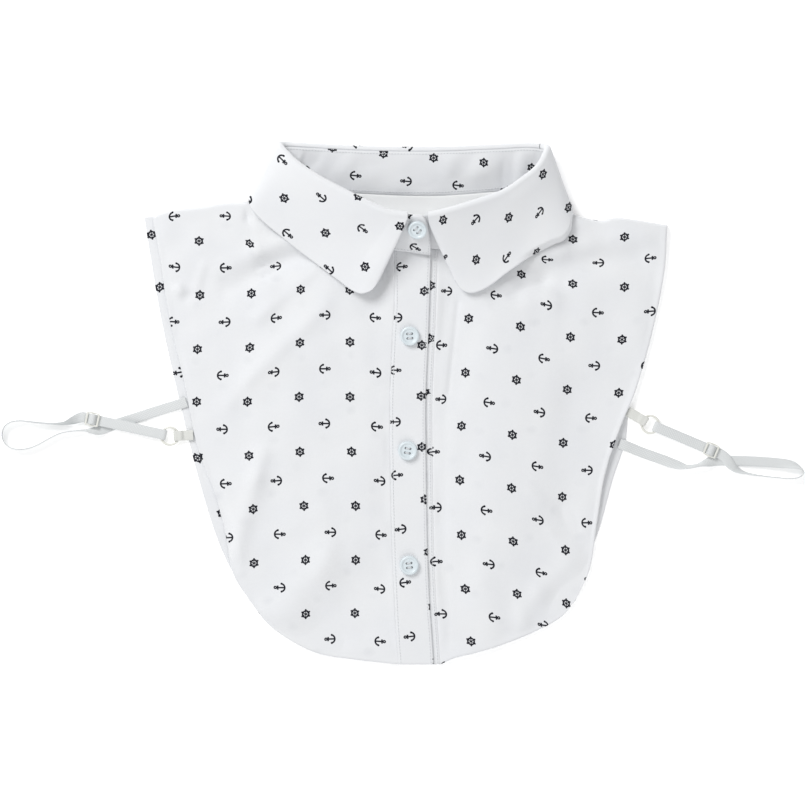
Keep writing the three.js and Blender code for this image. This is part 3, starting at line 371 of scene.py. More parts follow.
def off_edges(u: Array, v: Array, side: float, hem: float, top: float) -> Array:
    """Share that is 1 inside a surface and eases to 0 over a width at each edge."""
    return smooth(0, side, u) * smooth(0, side, 1 - u) * smooth(0, hem, v) * smooth(0, top, 1 - v)


def collar_under(x: Array, y: Array) -> Array:
    """Rise of the panels over the collar's back part near the neck.

    The leaf behind the neck lifts them by its thickness, its roll by a little more, and its turns
    at the two shoulders by more again.
    """
    beneath = between((-103, -96.5), (110, 117), x)
    leaf = 1.6 * smooth(103, 111, y)
    roll = 0.7 * smooth(121, 131, y)
    right_turn = 1.1 * smooth(116, 122, y) * (1 - smooth(-90, -80, x))
    left_turn = 1.5 * smooth(111, 118, y) * smooth(92, 101, x)
    return beneath * (leaf + roll + right_turn + left_turn)


def relaxed(heights: Array, hold: Array, passes: int = 220) -> Array:
    """Ease heights across each row of a grid.

    Args:
        heights: Heights on the grid.
        hold: Share of the old height that each place keeps.
        passes: Number of times that neighbours are averaged.

    Returns:
        The eased heights.
    """
    eased = heights.copy()
    for _ in range(passes):
        eased[:, 1:-1] = (eased[:, :-2] + 2 * eased[:, 1:-1] + eased[:, 2:]) / 4
    return heights * hold + eased * (1 - hold)


def fold_height(x: Array, y: Array, folds: Rows) -> Array:
    """Sum of the ridges and valleys of a table at places on the garment."""
    height = np.zeros_like(x)
    for from_x, from_y, to_x, to_y, width, rise in folds:
        run_x, run_y = to_x - from_x, to_y - from_y
        share = np.clip(((x - from_x) * run_x + (y - from_y) * run_y) / (run_x ** 2 + run_y ** 2), 0, 1)
        away = np.hypot(x - from_x - share * run_x, y - from_y - share * run_y)
        height += rise * np.exp(-((away / width) ** 2))
    return height


@dataclass(frozen=True)
class Crumple:
    """Soft irregular relief of handled cloth, as a sum of seeded waves.

    Attributes:
        seed: Start of the random numbers.
        shortest: Shortest wave in millimetres.
        longest: Longest wave in millimetres.
        depth: Root mean square height in millimetres.
        waves: Number of waves that are added.
    """

    seed: int
    shortest: float
    longest: float
    depth: float
    waves: int = 28

    def at(self, x: Array, y: Array) -> Array:
        """Height of the relief at places in millimetres."""
        numbers = np.random.default_rng(self.seed)
        height = np.zeros_like(x)
        for _ in range(self.waves):
            length = math.exp(numbers.uniform(math.log(self.shortest), math.log(self.longest)))
            turn, phase = numbers.uniform(0, 2 * math.pi, 2)
            weight = length / self.longest
            height += weight * np.sin(
                2 * math.pi * (x * math.cos(turn) + y * math.sin(turn)) / length + phase)
        return height * self.depth / max(float(np.sqrt(np.mean(height ** 2))), 1e-9)


RING_BASE = Spline([row[:3] for row in NECK_RING])
RING_FOLD = Spline([row[3:] for row in NECK_RING])
RING_ROWS = len(NECK_RING) - 1


@dataclass(frozen=True)
class RingFrame:
    """Neck ring at some places: lower edge, fold line, rise of the stand and outward direction."""

    base: Array
    fold: Array
    rise: Array
    out: Array
    height: Array


def ring_frame(place: Any) -> RingFrame:
    """Neck ring at places counted in rows of its table."""
    place = np.asarray(place, dtype=float)
    base, fold = RING_BASE.at(place / RING_ROWS), RING_FOLD.at(place / RING_ROWS)
    before = RING_FOLD.at(np.maximum(place - 0.1, 0) / RING_ROWS)
    after = RING_FOLD.at(np.minimum(place + 0.1, RING_ROWS) / RING_ROWS)
    rise = unit(fold - base)
    height = np.linalg.norm(fold - base, axis=-1, keepdims=True)
    return RingFrame(base, fold, rise, unit(np.cross(rise, after - before)), height)


def flat_ground(vectors: Array) -> Array:
    """Vectors without their height, scaled to length one."""
    return unit(vectors * LEVEL)


def under_stand(place: float) -> Array:
    """Point of a panel's neck edge under the stand."""
    ring = ring_frame(place)
    return ring.base + 0.9 * flat_ground(ring.rise) - ((STAND + PANEL) / 2 + GAP) * UP


class Edge(Enum):
    """Edges of a wall's grid."""

    FIRST_COLUMN = "first column"
    LAST_COLUMN = "last column"
    FIRST_ROW = "first row"
    LAST_ROW = "last row"


@dataclass(frozen=True)
class PrintLay:
    """Where the print falls, as a smooth sheet through marks that were read off.

    Attributes:
        marks: Rows of x, y and the repeats across and down there. Wheels are at whole repeats,
            and anchors half a repeat on both ways.
    """

    marks: tuple[tuple[float, float, float, float], ...]

    def through(self, places: Array, known: Array) -> Array:
        """Bend the print like a thin plate so that it meets every mark.

        Args:
            places: Flat places, in an array whose last axis has length two.
            known: Flat place of each mark.

        Returns:
            Repeats across and down at the places.
        """
        def bending(one: Array, two: Array) -> Array:
            """Pull of a thin plate between each two places."""
            square = np.sum((one[:, None] - two[None]) ** 2, axis=-1) / 1e4
            return square * np.log(square + 1e-9)

        level = np.column_stack([np.ones(len(known)), known / 100])
        system = np.block([[bending(known, known), level], [level.T, np.zeros((3, 3))]])
        values = np.vstack([np.array(self.marks)[:, 2:], np.zeros((3, 2))])
        weights = np.linalg.solve(system, values)
        spots = places.reshape(-1, 2)
        terms = np.hstack([bending(spots, known), np.ones((len(spots), 1)), spots / 100])
        return (terms @ weights).reshape(places.shape)


RIGHT_FRONT_PRINT = PrintLay((
    (-126, 100, 0, 0), (-94.5, 98.5, 1, 0), (-125.5, 66.5, 0, 1), (-93.5, 67.5, 1, 1), (-63, 70, 2, 1),
    (-127, 33, 0, 2), (-94.5, 34, 1, 2), (-63.5, 37, 2, 2), (-32.5, 37.5, 3, 2), (-127.5, 0.5, 0, 3),
    (-96, 0.5, 1, 3), (-64, 3.5, 2, 3), (-32.5, 3.5, 3, 3), (-95, -33, 1, 4), (-63.5, -30.5, 2, 4),
    (-31.5, -30.5, 3, 4), (-92.5, -66, 1, 5), (-61, -64, 2, 5), (-29, -64, 3, 5), (-92, -99.5, 1, 6),
    (-60, -97.5, 2, 6), (-29, -97.5, 3, 6), (-60, -131, 2, 7), (-29.5, -130.5, 3, 7),
    (-109.5, 115.5, 0.5, -0.5), (-141.5, 115.5, -0.5, -0.5), (-141, 84, -0.5, 0.5),
    (-80.5, 111.5, 1.5, -0.5), (-78.4, 84.5, 1.5, 0.5),
    (-17, 52.5, 3.5, 1.5), (-16.5, 18.5, 3.5, 2.5), (-16, -15, 3.5, 3.5), (-14, -48.5, 3.5, 4.5),
    (-13.5, -82, 3.5, 5.5), (-14, -115.5, 3.5, 6.5), (-14, -148, 3.5, 7.5)))
LEFT_FRONT_PRINT = PrintLay((
    (41, 52, 0, 1), (39, 18.5, 0, 2), (36.5, -14.5, 0, 3), (35.5, -48, 0, 4), (36.5, -82, 0, 5),
    (39, -115.5, 0, 6), (42.5, -148, 0, 7), (73.5, 79.5, 1, 0), (73, 47, 1, 1), (70.5, 14, 1, 2),
    (68, -20, 1, 3), (67.5, -53, 1, 4), (68.5, -86, 1, 5), (71, -118.5, 1, 6), (105.5, 101, 2, -1),
    (105.5, 73.5, 2, 0), (104, 40.5, 2, 1), (102, 8, 2, 2), (99.5, -25, 2, 3), (99, -58.5, 2, 4),
    (101, -91.5, 2, 5), (101.5, -124.5, 2, 6), (137.5, 102.5, 3, -1), (137.5, 71.5, 3, 0),
    (136, 39, 3, 1), (134, 6, 3, 2), (27.5, 69, -0.5, 0.5),
    (24, 35.5, -0.5, 1.5), (24, 2, -0.5, 2.5), (19.5, -30.5, -0.5, 3.5), (21, -65, -0.5, 4.5),
    (21, -98.5, -0.5, 5.5), (24, -131, -0.5, 6.5), (114.5, -42, 2.5, 3.5), (114, -74.5, 2.5, 4.5),
    (153.5, 89.5, 3.5, -0.5), (153.5, 56.5, 3.5, 0.5)))
PLACKET_PRINT = PrintLay((
    (-0.5, 84, 0.5, 0.5), (-3.5, 52.5, 0.5, 1.5), (-4.5, 20, 0.5, 2.5), (-4.5, -12, 0.5, 3.5),
    (-3.5, -45, 0.5, 4.5), (-1, -78.5, 0.5, 5.5), (1.5, -111.5, 0.5, 6.5), (4.5, -145, 0.5, 7.5),
    (13.5, 69, 1, 1), (12, 35.5, 1, 2), (11.5, 4, 1, 3), (12, -27.5, 1, 4), (14, -60, 1, 5),
    (16, -92.5, 1, 6)))
UNDER_PLACKET_PRINT = PrintLay((
    (17.5, 72.5, 0, 0), (16.5, 39.5, 0, 1), (13.5, 6.5, 0, 2), (49, 72.5, 1, 0),
    (19.5, -30.5, -0.5, 3.5), (21, -65, -0.5, 4.5), (21, -98.5, -0.5, 5.5),
    (24, -131, -0.5, 6.5)))
BACK_PRINT = PrintLay((
    (-155.5, 104, 0, -1), (-150.5, 71.5, 0, 0), (-139, 18.5, 0.5, 1.5), (-127, -34.5, 0, 3),
    (-119, 77, 1, 0), (-95, -30, 1, 3)))
GHOST_PRINT = PrintLay((
    (65, 33, 0, 0), (97, 33, 1, 0), (63, -34, 0, 2), (-64, -6, -4, 1), (-112, 9.5, -5.5, 0.5)))
RIGHT_LEAF_PRINT = PrintLay((
    (-73, 126.4, -1, 1), (-47.5, 104.9, 0, 1), (-23, 83.9, 1, 1), (-27.8, 127.3, 0, 0),
    (-1.5, 108.9, 1, 0), (-50, 126.9, -0.5, 0.5), (-71, 104.4, -0.5, 1.5), (-24.5, 107.4, 0.5, 0.5),
    (-45.5, 82.4, 0.5, 1.5), (-74, 149.9, -1.5, 0.5)))
BACK_LEAF_PRINT = PrintLay((
    (-27.8, 159.4, 0.5, 0.5), (3.3, 158.2, 1.5, 0.5), (-27.8, 142.8, 0.5, 1),
    (-59, 164.3, -0.5, 0.5), (34.4, 162.2, 2.5, 0.5), (65.5, 163.4, 3.5, 0.5)))
LEFT_LEAF_PRINT = PrintLay((
    (25, 112.9, 0, 1), (45.5, 88.4, 0, 2), (65.5, 114.4, 1, 2), (86.5, 140.9, 2, 2),
    (102.3, 120.6, 2, 3), (45, 112.9, 0.5, 1.5), (84.5, 117.4, 1.5, 2.5), (64.5, 89.9, 0.5, 2.5)))
INNER_STAND_PRINT = PrintLay((
    (-11.7, 154, 0, 1), (19.3, 151.5, 1, 1), (50.3, 148.5, 2, 1), (79.8, 145.5, 3, 1),
    (-29.2, 140.5, -0.5, 1.5), (2.3, 137, 0.5, 1.5), (34.3, 134.5, 1.5, 1.5)))
STAND_TAB_PRINT = PrintLay(((7.9, 96.1, 0.5, 0.5), (13.4, 93.1, 0.695, 0.497), (3.0, 115.0, 0.0, 0.0)))


@dataclass
class Wall:
    """One cloth wall: a grid over its middle surface, thickened to both sides.

    Attributes:
        name: Name of the piece.
        grid: Middle surface, rows by columns by three, in millimetres.
        cloth: Thickness of the cloth.
        prints: Repeats of the print at each grid point.
        shadow_prints: Repeats of the print that shows through from the layer below.
        ink_above: Strength of the ink on the upper face, which is weak on the cloth's wrong side.
        ink_below: Strength of the ink on the lower face.
        thickness: Thickness at each grid point.
        normals: Direction out of the upper face at each grid point.
        outward: Direction out of the rim at the grid's outermost points.
    """

    name: str
    grid: Array
    cloth: float
    prints: Array | None = None
    shadow_prints: Array | None = None
    ink_above: Any = 1.0
    ink_below: float = 1.0
    thickness: Array = field(init=False)
    normals: Array = field(init=False)
    outward: Array = field(init=False)

    def __post_init__(self) -> None:
        """Work out the normals and the direction out of the rim."""
        self.thickness = np.full(self.grid.shape[:2], self.cloth)
        padded = np.pad(self.grid, ((1, 1), (1, 1), (0, 0)), mode="edge")
        along = padded[1:-1, 2:] - padded[1:-1, :-2]
        across = padded[2:, 1:-1] - padded[:-2, 1:-1]
        self.normals = unit(np.cross(along, across))
        self.outward = np.zeros_like(self.grid)
        self.outward[:, 0] -= unit(along[:, 0])
        self.outward[:, -1] += unit(along[:, -1])
        self.outward[0] -= unit(across[0])
        self.outward[-1] += unit(across[-1])
        self.outward = unit(self.outward)

    def lengths(self, edge: Edge) -> Array:
        """Distance of each grid point from an edge, walked along the grid."""
        axis = 1 if edge in (Edge.FIRST_COLUMN, Edge.LAST_COLUMN) else 0
        walk = np.linalg.norm(np.diff(self.grid, axis=axis), axis=-1)
        shape = list(self.grid.shape[:2])
        shape[axis] = 1
        total = np.concatenate([np.zeros(shape), np.cumsum(walk, axis=axis)], axis=axis)
        if edge in (Edge.LAST_COLUMN, Edge.LAST_ROW):
            total = np.take(total, [-1], axis=axis) - total
        return total

    def unrolled(self) -> Array:
        """Flat places: each column laid out level at its full length from its middle row."""
        steps = np.diff(self.grid, axis=0)
        level = unit(steps[..., :2]) * np.linalg.norm(steps, axis=-1, keepdims=True)
        run = np.concatenate([np.zeros_like(self.grid[:1, :, :2]), np.cumsum(level, axis=0)])
        return run + (self.grid[..., :2] - run)[len(run) // 2]

    def lay(self, lay: PrintLay) -> Array:
        """Print map through a lay's marks, each found at its place seen from above."""
        flat, spots = self.unrolled(), self.grid.reshape(-1, 3)
        known = []
        for x, y, *_ in lay.marks:
            away = np.hypot(spots[:, 0] - x, spots[:, 1] - y) - 0.1 * spots[:, 2]
            nearest = int(np.argmin(away))
            known.append(flat.reshape(-1, 2)[nearest] + (x, y) - spots[nearest, :2])
        return lay.through(flat, np.array(known))

    def hem(self, edges: Sequence[Edge], width: float, extra: float = 0.2) -> None:
        """Thicken the cloth where its edge is turned in and sewn down.

        Args:
            edges: Edges that are turned in.
            width: Width of the turning.
            extra: Added thickness.
        """
        near = np.minimum.reduce([self.lengths(edge) for edge in edges])
        self.thickness = self.thickness + extra * (1 - smooth(width - 0.5, width + 0.5, near))

    def groove(self, edge: Edge, inset: float, depth: float = 0.22, width: float = 0.75) -> None:
        """Draw the cloth in along a line of stitches."""
        self.thickness = self.thickness - depth * np.exp(-(((self.lengths(edge) - inset) / width) ** 2))

    def area(self) -> float:
        """Area of the cloth in square metres."""
        along, across = np.diff(self.grid, axis=1), np.diff(self.grid, axis=0)
        halves = (np.cross(along[:-1], across[:, :-1]), np.cross(along[1:], across[:, 1:]))
        return float(sum(np.linalg.norm(half, axis=-1).sum() for half in halves)) / 2 * MM * MM

    def flat_size(self) -> tuple[float, float]:
        """Longest run along the rows and along the columns, in metres."""
        along, across = self.lengths(Edge.FIRST_COLUMN).max(), self.lengths(Edge.FIRST_ROW).max()
        return float(along) * MM, float(across) * MM

    def seam(self, edge: Edge, inset: float, start: float = 0.0, stop: float = 1.0,
             side: int = 1) -> tuple[Array, Array]:
        """Line on the cloth's face at a distance inside an edge.

        Args:
            edge: Edge that the line follows.
            inset: Distance inside the edge.
            start: Share of the edge where the line starts.
            stop: Share of the edge where it stops.
            side: 1 for the upper face and -1 for the lower one.

        Returns:
            Points of the line and the face's normals there.
        """
        parts = [self.lengths(edge), self.grid, self.normals, self.thickness / 2]
        if edge in (Edge.FIRST_ROW, Edge.LAST_ROW):
            parts = [part.swapaxes(0, 1) for part in parts]
        if edge in (Edge.LAST_COLUMN, Edge.LAST_ROW):
            parts = [part[:, ::-1] for part in parts]
        lengths, *others = parts
        last_row, last_column = lengths.shape[0] - 1, lengths.shape[1] - 1
        spots, ups = [], []
        for row in range(round(start * last_row), round(stop * last_row) + 1):
            place = np.interp(inset, lengths[row], np.arange(last_column + 1))
            k = min(int(place), last_column - 1)
            rest = place - k
            point, normal, half = (part[row, k] * (1 - rest) + part[row, k + 1] * rest for part in others)
            up = side * unit(normal)
            spots.append(point + up * half)
            ups.append(up)
        return np.array(spots), np.array(ups)

    def build(self, finish: Material, node: str) -> Piece:
        """Make the wall's closed mesh with its rounded rim and its print maps.

        Args:
            finish: Material of the whole piece.
            node: Solid that the piece stands for.

        Returns:
            The finished piece.
        """
        rows, columns = self.grid.shape[:2]
        half = self.thickness[..., None] / 2
        upper = (self.grid + self.normals * half).reshape(-1, 3)
        lower = (self.grid - self.normals * half).reshape(-1, 3)
        ids = np.arange(rows * columns).reshape(rows, columns)
        rim = np.concatenate([ids[0], ids[1:, -1], ids[-1, -2::-1], ids[-2:0:-1, 0]])
        edge = (self.grid + self.outward * half * 0.8).reshape(-1, 3)[rim]
        points = np.vstack([upper, lower, edge])
        top = np.stack([ids[:-1, :-1], ids[:-1, 1:], ids[1:, 1:], ids[1:, :-1]], axis=-1).reshape(-1, 4)
        under = top[:, ::-1] + ids.size
        mid = 2 * ids.size + np.arange(len(rim))
        after, mid_after = np.roll(rim, -1), np.roll(mid, -1)
        high = np.stack([rim, mid, mid_after, after], axis=-1)
        low = np.stack([mid, rim + ids.size, after + ids.size, mid_after], axis=-1)
        faces = np.vstack([top, under, high, low])
        layers = {}
        for label, values in (("print", self.prints), ("shadow_print", self.shadow_prints)):
            if values is not None:
                flat = values.reshape(-1, 2)
                layers[label] = np.vstack([flat, flat, flat[rim]])
        above = np.broadcast_to(self.ink_above, ids.shape).ravel()
        ink = np.concatenate([above, np.full(ids.size, self.ink_below), above[rim]])
        layers["ink"] = np.column_stack([ink, ink])
        piece = mesh_piece(self.name, points, faces, finish, layers)
        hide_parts(node)
        return piece


def mesh_piece(name: str, points: Array, faces: Any, finish: Material,
               layers: dict[str, Array] | None = None) -> Piece:
    """Make a smooth-shaded piece that rides on the body.

    Args:
        name: Name of the piece.
        points: Vertices in millimetres in the garment's frame.
        faces: Vertex numbers of each face.
        finish: Material of the whole piece.
        layers: Map coordinates of each vertex, by the map's name.

    Returns:
        The new piece.
    """
    mesh = new_mesh(name, ((points + SHIFT) * MM).tolist(), [list(map(int, face)) for face in faces])
    loops = np.empty(len(mesh.loops), dtype=np.int32)
    mesh.loops.foreach_get("vertex_index", loops)
    for label, values in (layers or {}).items():
        layer = mesh.uv_layers.new(name=label)
        layer.data.foreach_set("uv", values[loops].astype(np.float32).ravel())
    mesh.shade_smooth()
    mesh.materials.append(finish)
    return show(name, mesh)


def new_mesh(name: str, points: Any, faces: Any, edges: Any = ()) -> Mesh:
    """Make a mesh from its points, faces and loose edges."""
    mesh = bpy.data.meshes.new(name)
    mesh.from_pydata(points, edges, faces)
    return mesh


def put(name: str, content: bpy.types.ID) -> Piece:
    """Put a mesh, a light or a camera in the scene."""
    subject = bpy.data.objects.new(name, content)
    bpy.context.scene.collection.objects.link(subject)
    return subject


def show(name: str, mesh: Mesh) -> Piece:
    """Put a mesh in the scene as a piece that rides on the body."""
    piece = put(name, mesh)
    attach(piece, "root")
    return piece


def evaluated_mesh(subject: Piece, name: str) -> Mesh:
    """Plain mesh of an object with its modifiers, which is then removed."""
    graph = bpy.context.evaluated_depsgraph_get()
    mesh = bpy.data.meshes.new_from_object(subject.evaluated_get(graph))
    mesh.name = name
    bpy.data.objects.remove(subject)
    return mesh


def add_node(tree: Tree, kind: str, links: dict[Any, Any] | None = None, **settings: Any) -> Node:
    """Add a node with its settings and links.

    Args:
        tree: Tree that takes the node.
        kind: Type name of the node.
        links: What feeds each input: an amount, an output, a node's first output or a value.
        **settings: Properties of the node.

    Returns:
        The new node.
    """
    node = tree.nodes.new(kind)
    for key, value in settings.items():
        setattr(node, key, value)
    for key, source in (links or {}).items():
        if isinstance(source, Amount):
            source = source.source
        if isinstance(source, Node):
            source = source.outputs[0]
        if isinstance(source, Socket):
            tree.links.new(source, node.inputs[key])
        else:
            node.inputs[key].default_value = source
    return node


def new_material(name: str) -> tuple[Material, Tree, Node]:
    """Make a material with an empty principled shader."""
    material = bpy.data.materials.new(name)
    material.use_nodes = True
    tree = material.node_tree
    tree.nodes.clear()
    shader = add_node(tree, "ShaderNodeBsdfPrincipled")
    add_node(tree, "ShaderNodeOutputMaterial", {"Surface": shader})
    return material, tree, shader


def step(operation: str) -> Callable[..., "Amount"]:
    """Make a method that adds one step of arithmetic to a shader's tree."""
    def method(self: "Amount", *others: Any) -> "Amount":
        """Result of the step for this amount and the others."""
        node = add_node(self.tree, "ShaderNodeMath", dict(enumerate((self, *others))), operation=operation)
        return Amount(self.tree, node)
    return method


@dataclass(frozen=True)
class Amount:
    """Number in a shader's tree, on which arithmetic adds nodes."""

    tree: Tree
    source: Node | Socket

    __add__ = step("ADD")
    __sub__ = step("SUBTRACT")
    __mul__ = step("MULTIPLY")
    __truediv__ = step("DIVIDE")
    __mod__ = step("FLOORED_MODULO")
    __pow__ = step("POWER")
    __abs__ = step("ABSOLUTE")
    least = step("MINIMUM")
    most = step("MAXIMUM")
    floor = step("FLOOR")
    round = step("ROUND")
    root = step("SQRT")
    sine = step("SINE")
    cosine = step("COSINE")
    turn = step("ARCTAN2")


def reach(x: Amount, y: Amount) -> Amount:
    """Length of a flat arrow."""
    return (x * x + y * y).root()


def mixed(tree: Tree, share: Any, first: Any, second: Any) -> Socket:
    """Colour that goes from the first to the second with a share."""
    return add_node(tree, "ShaderNodeMix", {0: share, 6: first, 7: second}, data_type="RGBA").outputs[2]


def cloud(tree: Tree, place: Any, **inputs: float) -> Amount:
    """Soft noise over places, from 0 to 1."""
    return Amount(tree, add_node(tree, "ShaderNodeTexNoise", {"Vector": place, **inputs}))


def waves(tree: Tree, place: Any, direction: str, scale: float, distortion: float,
          finer: dict[str, float] | None = None) -> Amount:
    """Soft stripes over places, from 0 to 1.

    Args:
        tree: Tree that takes the node.
        place: Places in millimetres.
        direction: Direction in which the stripes follow each other.
        scale: Density of the stripes.
        distortion: How far they waver.
        finer: Inputs of the wavering's own detail.

    Returns:
        Height of the stripes.
    """
    inputs = {"Vector": place, "Scale": scale, "Distortion": distortion, **(finer or {})}
    return Amount(tree, add_node(tree, "ShaderNodeTexWave", inputs, bands_direction=direction).outputs[1])


def dress(tree: Tree, shader: Node, colour: Any, inputs: dict[str, Any],
          height: Amount | None = None, relief: tuple[float, float] = (0.0, 0.0)) -> None:
    """Give a shader its colour, plain inputs and fine relief.

    Args:
        tree: Tree of the shader.
        shader: The shader.
        colour: Output that gives the colour.
        inputs: Values of other inputs by name.
        height: Height of the relief, from 0 to 1.
        relief: Depth of the relief in metres, and its strength.
    """
    tree.links.new(colour, shader.inputs["Base Color"])
    for name, value in inputs.items():
        shader.inputs[name].default_value = value
    if height is not None:
        bump = add_node(tree, "ShaderNodeBump", {"Height": height, "Distance": relief[0],
                                                 "Strength": relief[1]})
        tree.links.new(bump.outputs[0], shader.inputs["Normal"])


def wheel(across: Amount, down: Amount) -> Amount:
    """Distance in millimetres to a six-spoked ship's wheel at the repeat's corners."""
    rim_radius, half_rim, hub_radius = 1.95, 0.52, 0.72
    spoke_end, half_spoke, knob_radius = 2.6, 0.27, 0.58
    x = (across - across.round()) * REPEAT_ACROSS
    y = (down - down.round()) * REPEAT_DOWN
    away = reach(x, y)
    sector = (y.turn(x) + math.pi / 3) % (math.pi / 3) - math.pi / 6
    out = away * sector.cosine()
    aside = abs(away * sector.sine())
    rim = abs(away - rim_radius) - half_rim
    spoke = (aside - half_spoke).most(out - spoke_end)
    knob = reach(out - spoke_end, aside) - knob_radius
    return rim.least(away - hub_radius).least(spoke.least(knob))


def anchor(across: Amount, down: Amount) -> Amount:
    """Distance in millimetres to an anchor in the repeat's middle, which faces each way in turn."""
    column, row = across.floor(), down.floor()
    facing = (column + row) % 2.0 * 2.0 - 1.0
    x = (across - column - 0.5) * REPEAT_ACROSS * facing
    aside = abs((down - row - 0.5) * REPEAT_DOWN)
    eye = abs(reach(x + 2.8, aside) - 0.66) - 0.4
    shank = (abs(x - 0.4) - 2.5).most(aside - 0.48)
    stock = (abs(x + 1.35) - 0.52).most(aside - 1.3)
    arms = (abs(reach(x - 0.5, aside) - 2.45) - 0.52).most(x * -1.0 + 0.9)
    fluke = reach(x - 1.0, aside - 2.45) - 0.68
    return eye.least(shank).least(stock.least(arms)).least(fluke)


def ghost(across: Amount, down: Amount) -> Amount:
    """Blurred spots of the print below: 1 in their middles and 0 outside."""
    round_radius, long_radius, narrowing, softness = 3.4, 3.2, 0.75, 0.6
    x = (across - across.round()) * REPEAT_ACROSS
    y = (down - down.round()) * REPEAT_DOWN
    round_spot = reach(x, y) / -round_radius + 1.0
    x = (across - across.floor() - 0.5) * (REPEAT_ACROSS * narrowing)
    y = (down - down.floor() - 0.5) * REPEAT_DOWN
    long_spot = reach(x, y) / -long_radius + 1.0
    return round_spot.most(long_spot).most(0.0) ** softness


@dataclass(frozen=True)
class Poplin:
    """Bleached cotton poplin: a fine plain weave, matt, with a soft nap.

    Attributes:
        name: Name of the material.
        colour: Colour of the cloth.
        light: Colour of its lighter patches.
        ink: Colour of the print, a blue black that soaks into the threads.
        below: Colour of the print of the layer below, seen through the cloth.
        printed: Whether the print is on it.
        shows_below: Whether the print of the layer below shows through faintly.
        thread: Drawn spacing of the threads in millimetres. Real poplin has 0.25, too fine to show.
    """

    name: str
    colour: str = "E6E8EC"
    light: str = "EDEEEF"
    ink: str = "12141F"
    below: str = "7C828F"
    printed: bool = True
    shows_below: bool = False
    thread: float = 0.62

    def build(self) -> Material:
        """Make the material."""
        material, tree, shader = new_material(self.name)

        def place(layer: str) -> tuple[Amount, Amount]:
            """Read the repeats across and down from a map."""
            source = add_node(tree, "ShaderNodeUVMap", uv_map=layer)
            parts = add_node(tree, "ShaderNodeSeparateXYZ", {0: source})
            return Amount(tree, parts.outputs[0]), Amount(tree, parts.outputs[1])

        across, down = place("print")
        millimetres = add_node(tree, "ShaderNodeCombineXYZ", {0: across * REPEAT_ACROSS,
                                                              1: down * REPEAT_DOWN})
        shade = cloud(tree, millimetres, Scale=0.035, Detail=3.0, Roughness=0.55)
        colour = mixed(tree, shade, linear(self.colour), linear(self.light))
        if self.shows_below:
            noise = cloud(tree, millimetres, Scale=0.05, Detail=2.0)
            patchy = add_node(tree, "ShaderNodeMapRange", {0: noise, 1: 0.4, 2: 0.7, 3: 0.0, 4: 0.1})
            colour = mixed(tree, ghost(*place("shadow_print")) * patchy, colour, linear(self.below))
        if self.printed:
            nearest = wheel(across, down).least(anchor(across, down))
            inked = add_node(tree, "ShaderNodeMapRange", {0: nearest, 1: -0.07, 2: 0.09, 3: 1.0, 4: 0.0})
            colour = mixed(tree, place("ink")[0] * inked, colour, linear(self.ink))
        finer = {"Detail": 1.0, "Detail Scale": 2.0}
        warp, weft = (waves(tree, millimetres, axis, 0.314 / self.thread, 1.2, finer) for axis in "XY")
        slub = cloud(tree, millimetres, Scale=0.22, Detail=4.0, Roughness=0.6)
        dress(tree, shader, colour, {"Roughness": 0.86, "Specular IOR Level": 0.25, "Sheen Weight": 0.12,
                                     "Sheen Roughness": 0.5}, warp.most(weft) * 0.35 + slub, (0.00016, 0.55))
        return material


@dataclass(frozen=True)
class Finish:
    """Surface in two tones of one pattern: a cloud, or waves that cross like threads.

    Attributes:
        name: Name of the real material.
        weak: Colour where the pattern is weak.
        strong: Colour where it is strong.
        cloudy: Inputs of the cloud, which is over the piece.
        threads: Direction, scale and distortion of each wave, along a band.
        crossing: Arithmetic that joins the two waves.
        gloss: Roughness where the pattern is weak and where it is strong.
        relief: Depth of the pattern in metres, and its strength.
        others: Other inputs of the shader.
    """

    name: str
    weak: str
    strong: str
    cloudy: dict[str, float] = field(default_factory=dict)
    threads: tuple[tuple[str, float, float], ...] = ()
    crossing: str = "MAXIMUM"
    gloss: tuple[float, float] = (0.5, 0.5)
    relief: tuple[float, float] = (0.0, 0.0)
    others: dict[str, float] = field(default_factory=dict)

    def build(self) -> Material:
        """Make the material."""
        material, tree, shader = new_material(self.name)
        if self.threads:
            band = add_node(tree, "ShaderNodeUVMap", uv_map="band")
            pattern = step(self.crossing)(*(waves(tree, band, *thread) for thread in self.threads))
        else:
            pattern = cloud(tree, add_node(tree, "ShaderNodeTexCoord").outputs["Object"], **self.cloudy)
        worn = add_node(tree, "ShaderNodeMapRange", {0: pattern, 3: self.gloss[0], 4: self.gloss[1]})
        tree.links.new(worn.outputs[0], shader.inputs["Roughness"])
        dress(tree, shader, mixed(tree, pattern, linear(self.weak), linear(self.strong)), self.others,
              pattern if self.relief[0] else None, self.relief)
        return material


# Spun polyester sewing thread: two plies, white, with a dull shine.
SEWING_THREAD = Finish("spun_polyester_thread", "E4E6E8", "CDD0D4", {"Scale": 2600.0, "Detail": 2.0},
                       gloss=(0.55, 0.55), relief=(0.00004, 0.6))
# Cast polyester button: pale bluish white, satin, with a faint pearly cloud.
BUTTON_RESIN = Finish("polyester_button_resin", "D5E1E7", "E6EEF2",
                      {"Scale": 260.0, "Detail": 3.0, "Distortion": 1.2}, gloss=(0.24, 0.4),
                      others={"IOR": 1.55, "Coat Weight": 0.25, "Coat Roughness": 0.2})
# Braided elastic: white yarns over rubber, with fine ribs across the band.
ELASTIC = Finish("braided_elastic", "D6D9DA", "ECEEEE", threads=(("X", 0.36, 0.6), ("DIAGONAL", 0.38, 0.8)),
                 crossing="MULTIPLY", gloss=(0.8, 0.8), relief=(0.00012, 0.6), others={"Sheen Weight": 0.15})
# Nylon-coated wire and plate: off-white, smooth and softly glossy.
COATED_METAL = Finish("nylon_coated_hardware", "EFEFEA", "E2E2DA", {"Scale": 420.0, "Detail": 3.0},
                      gloss=(0.22, 0.38), others={"IOR": 1.53, "Coat Weight": 0.3})
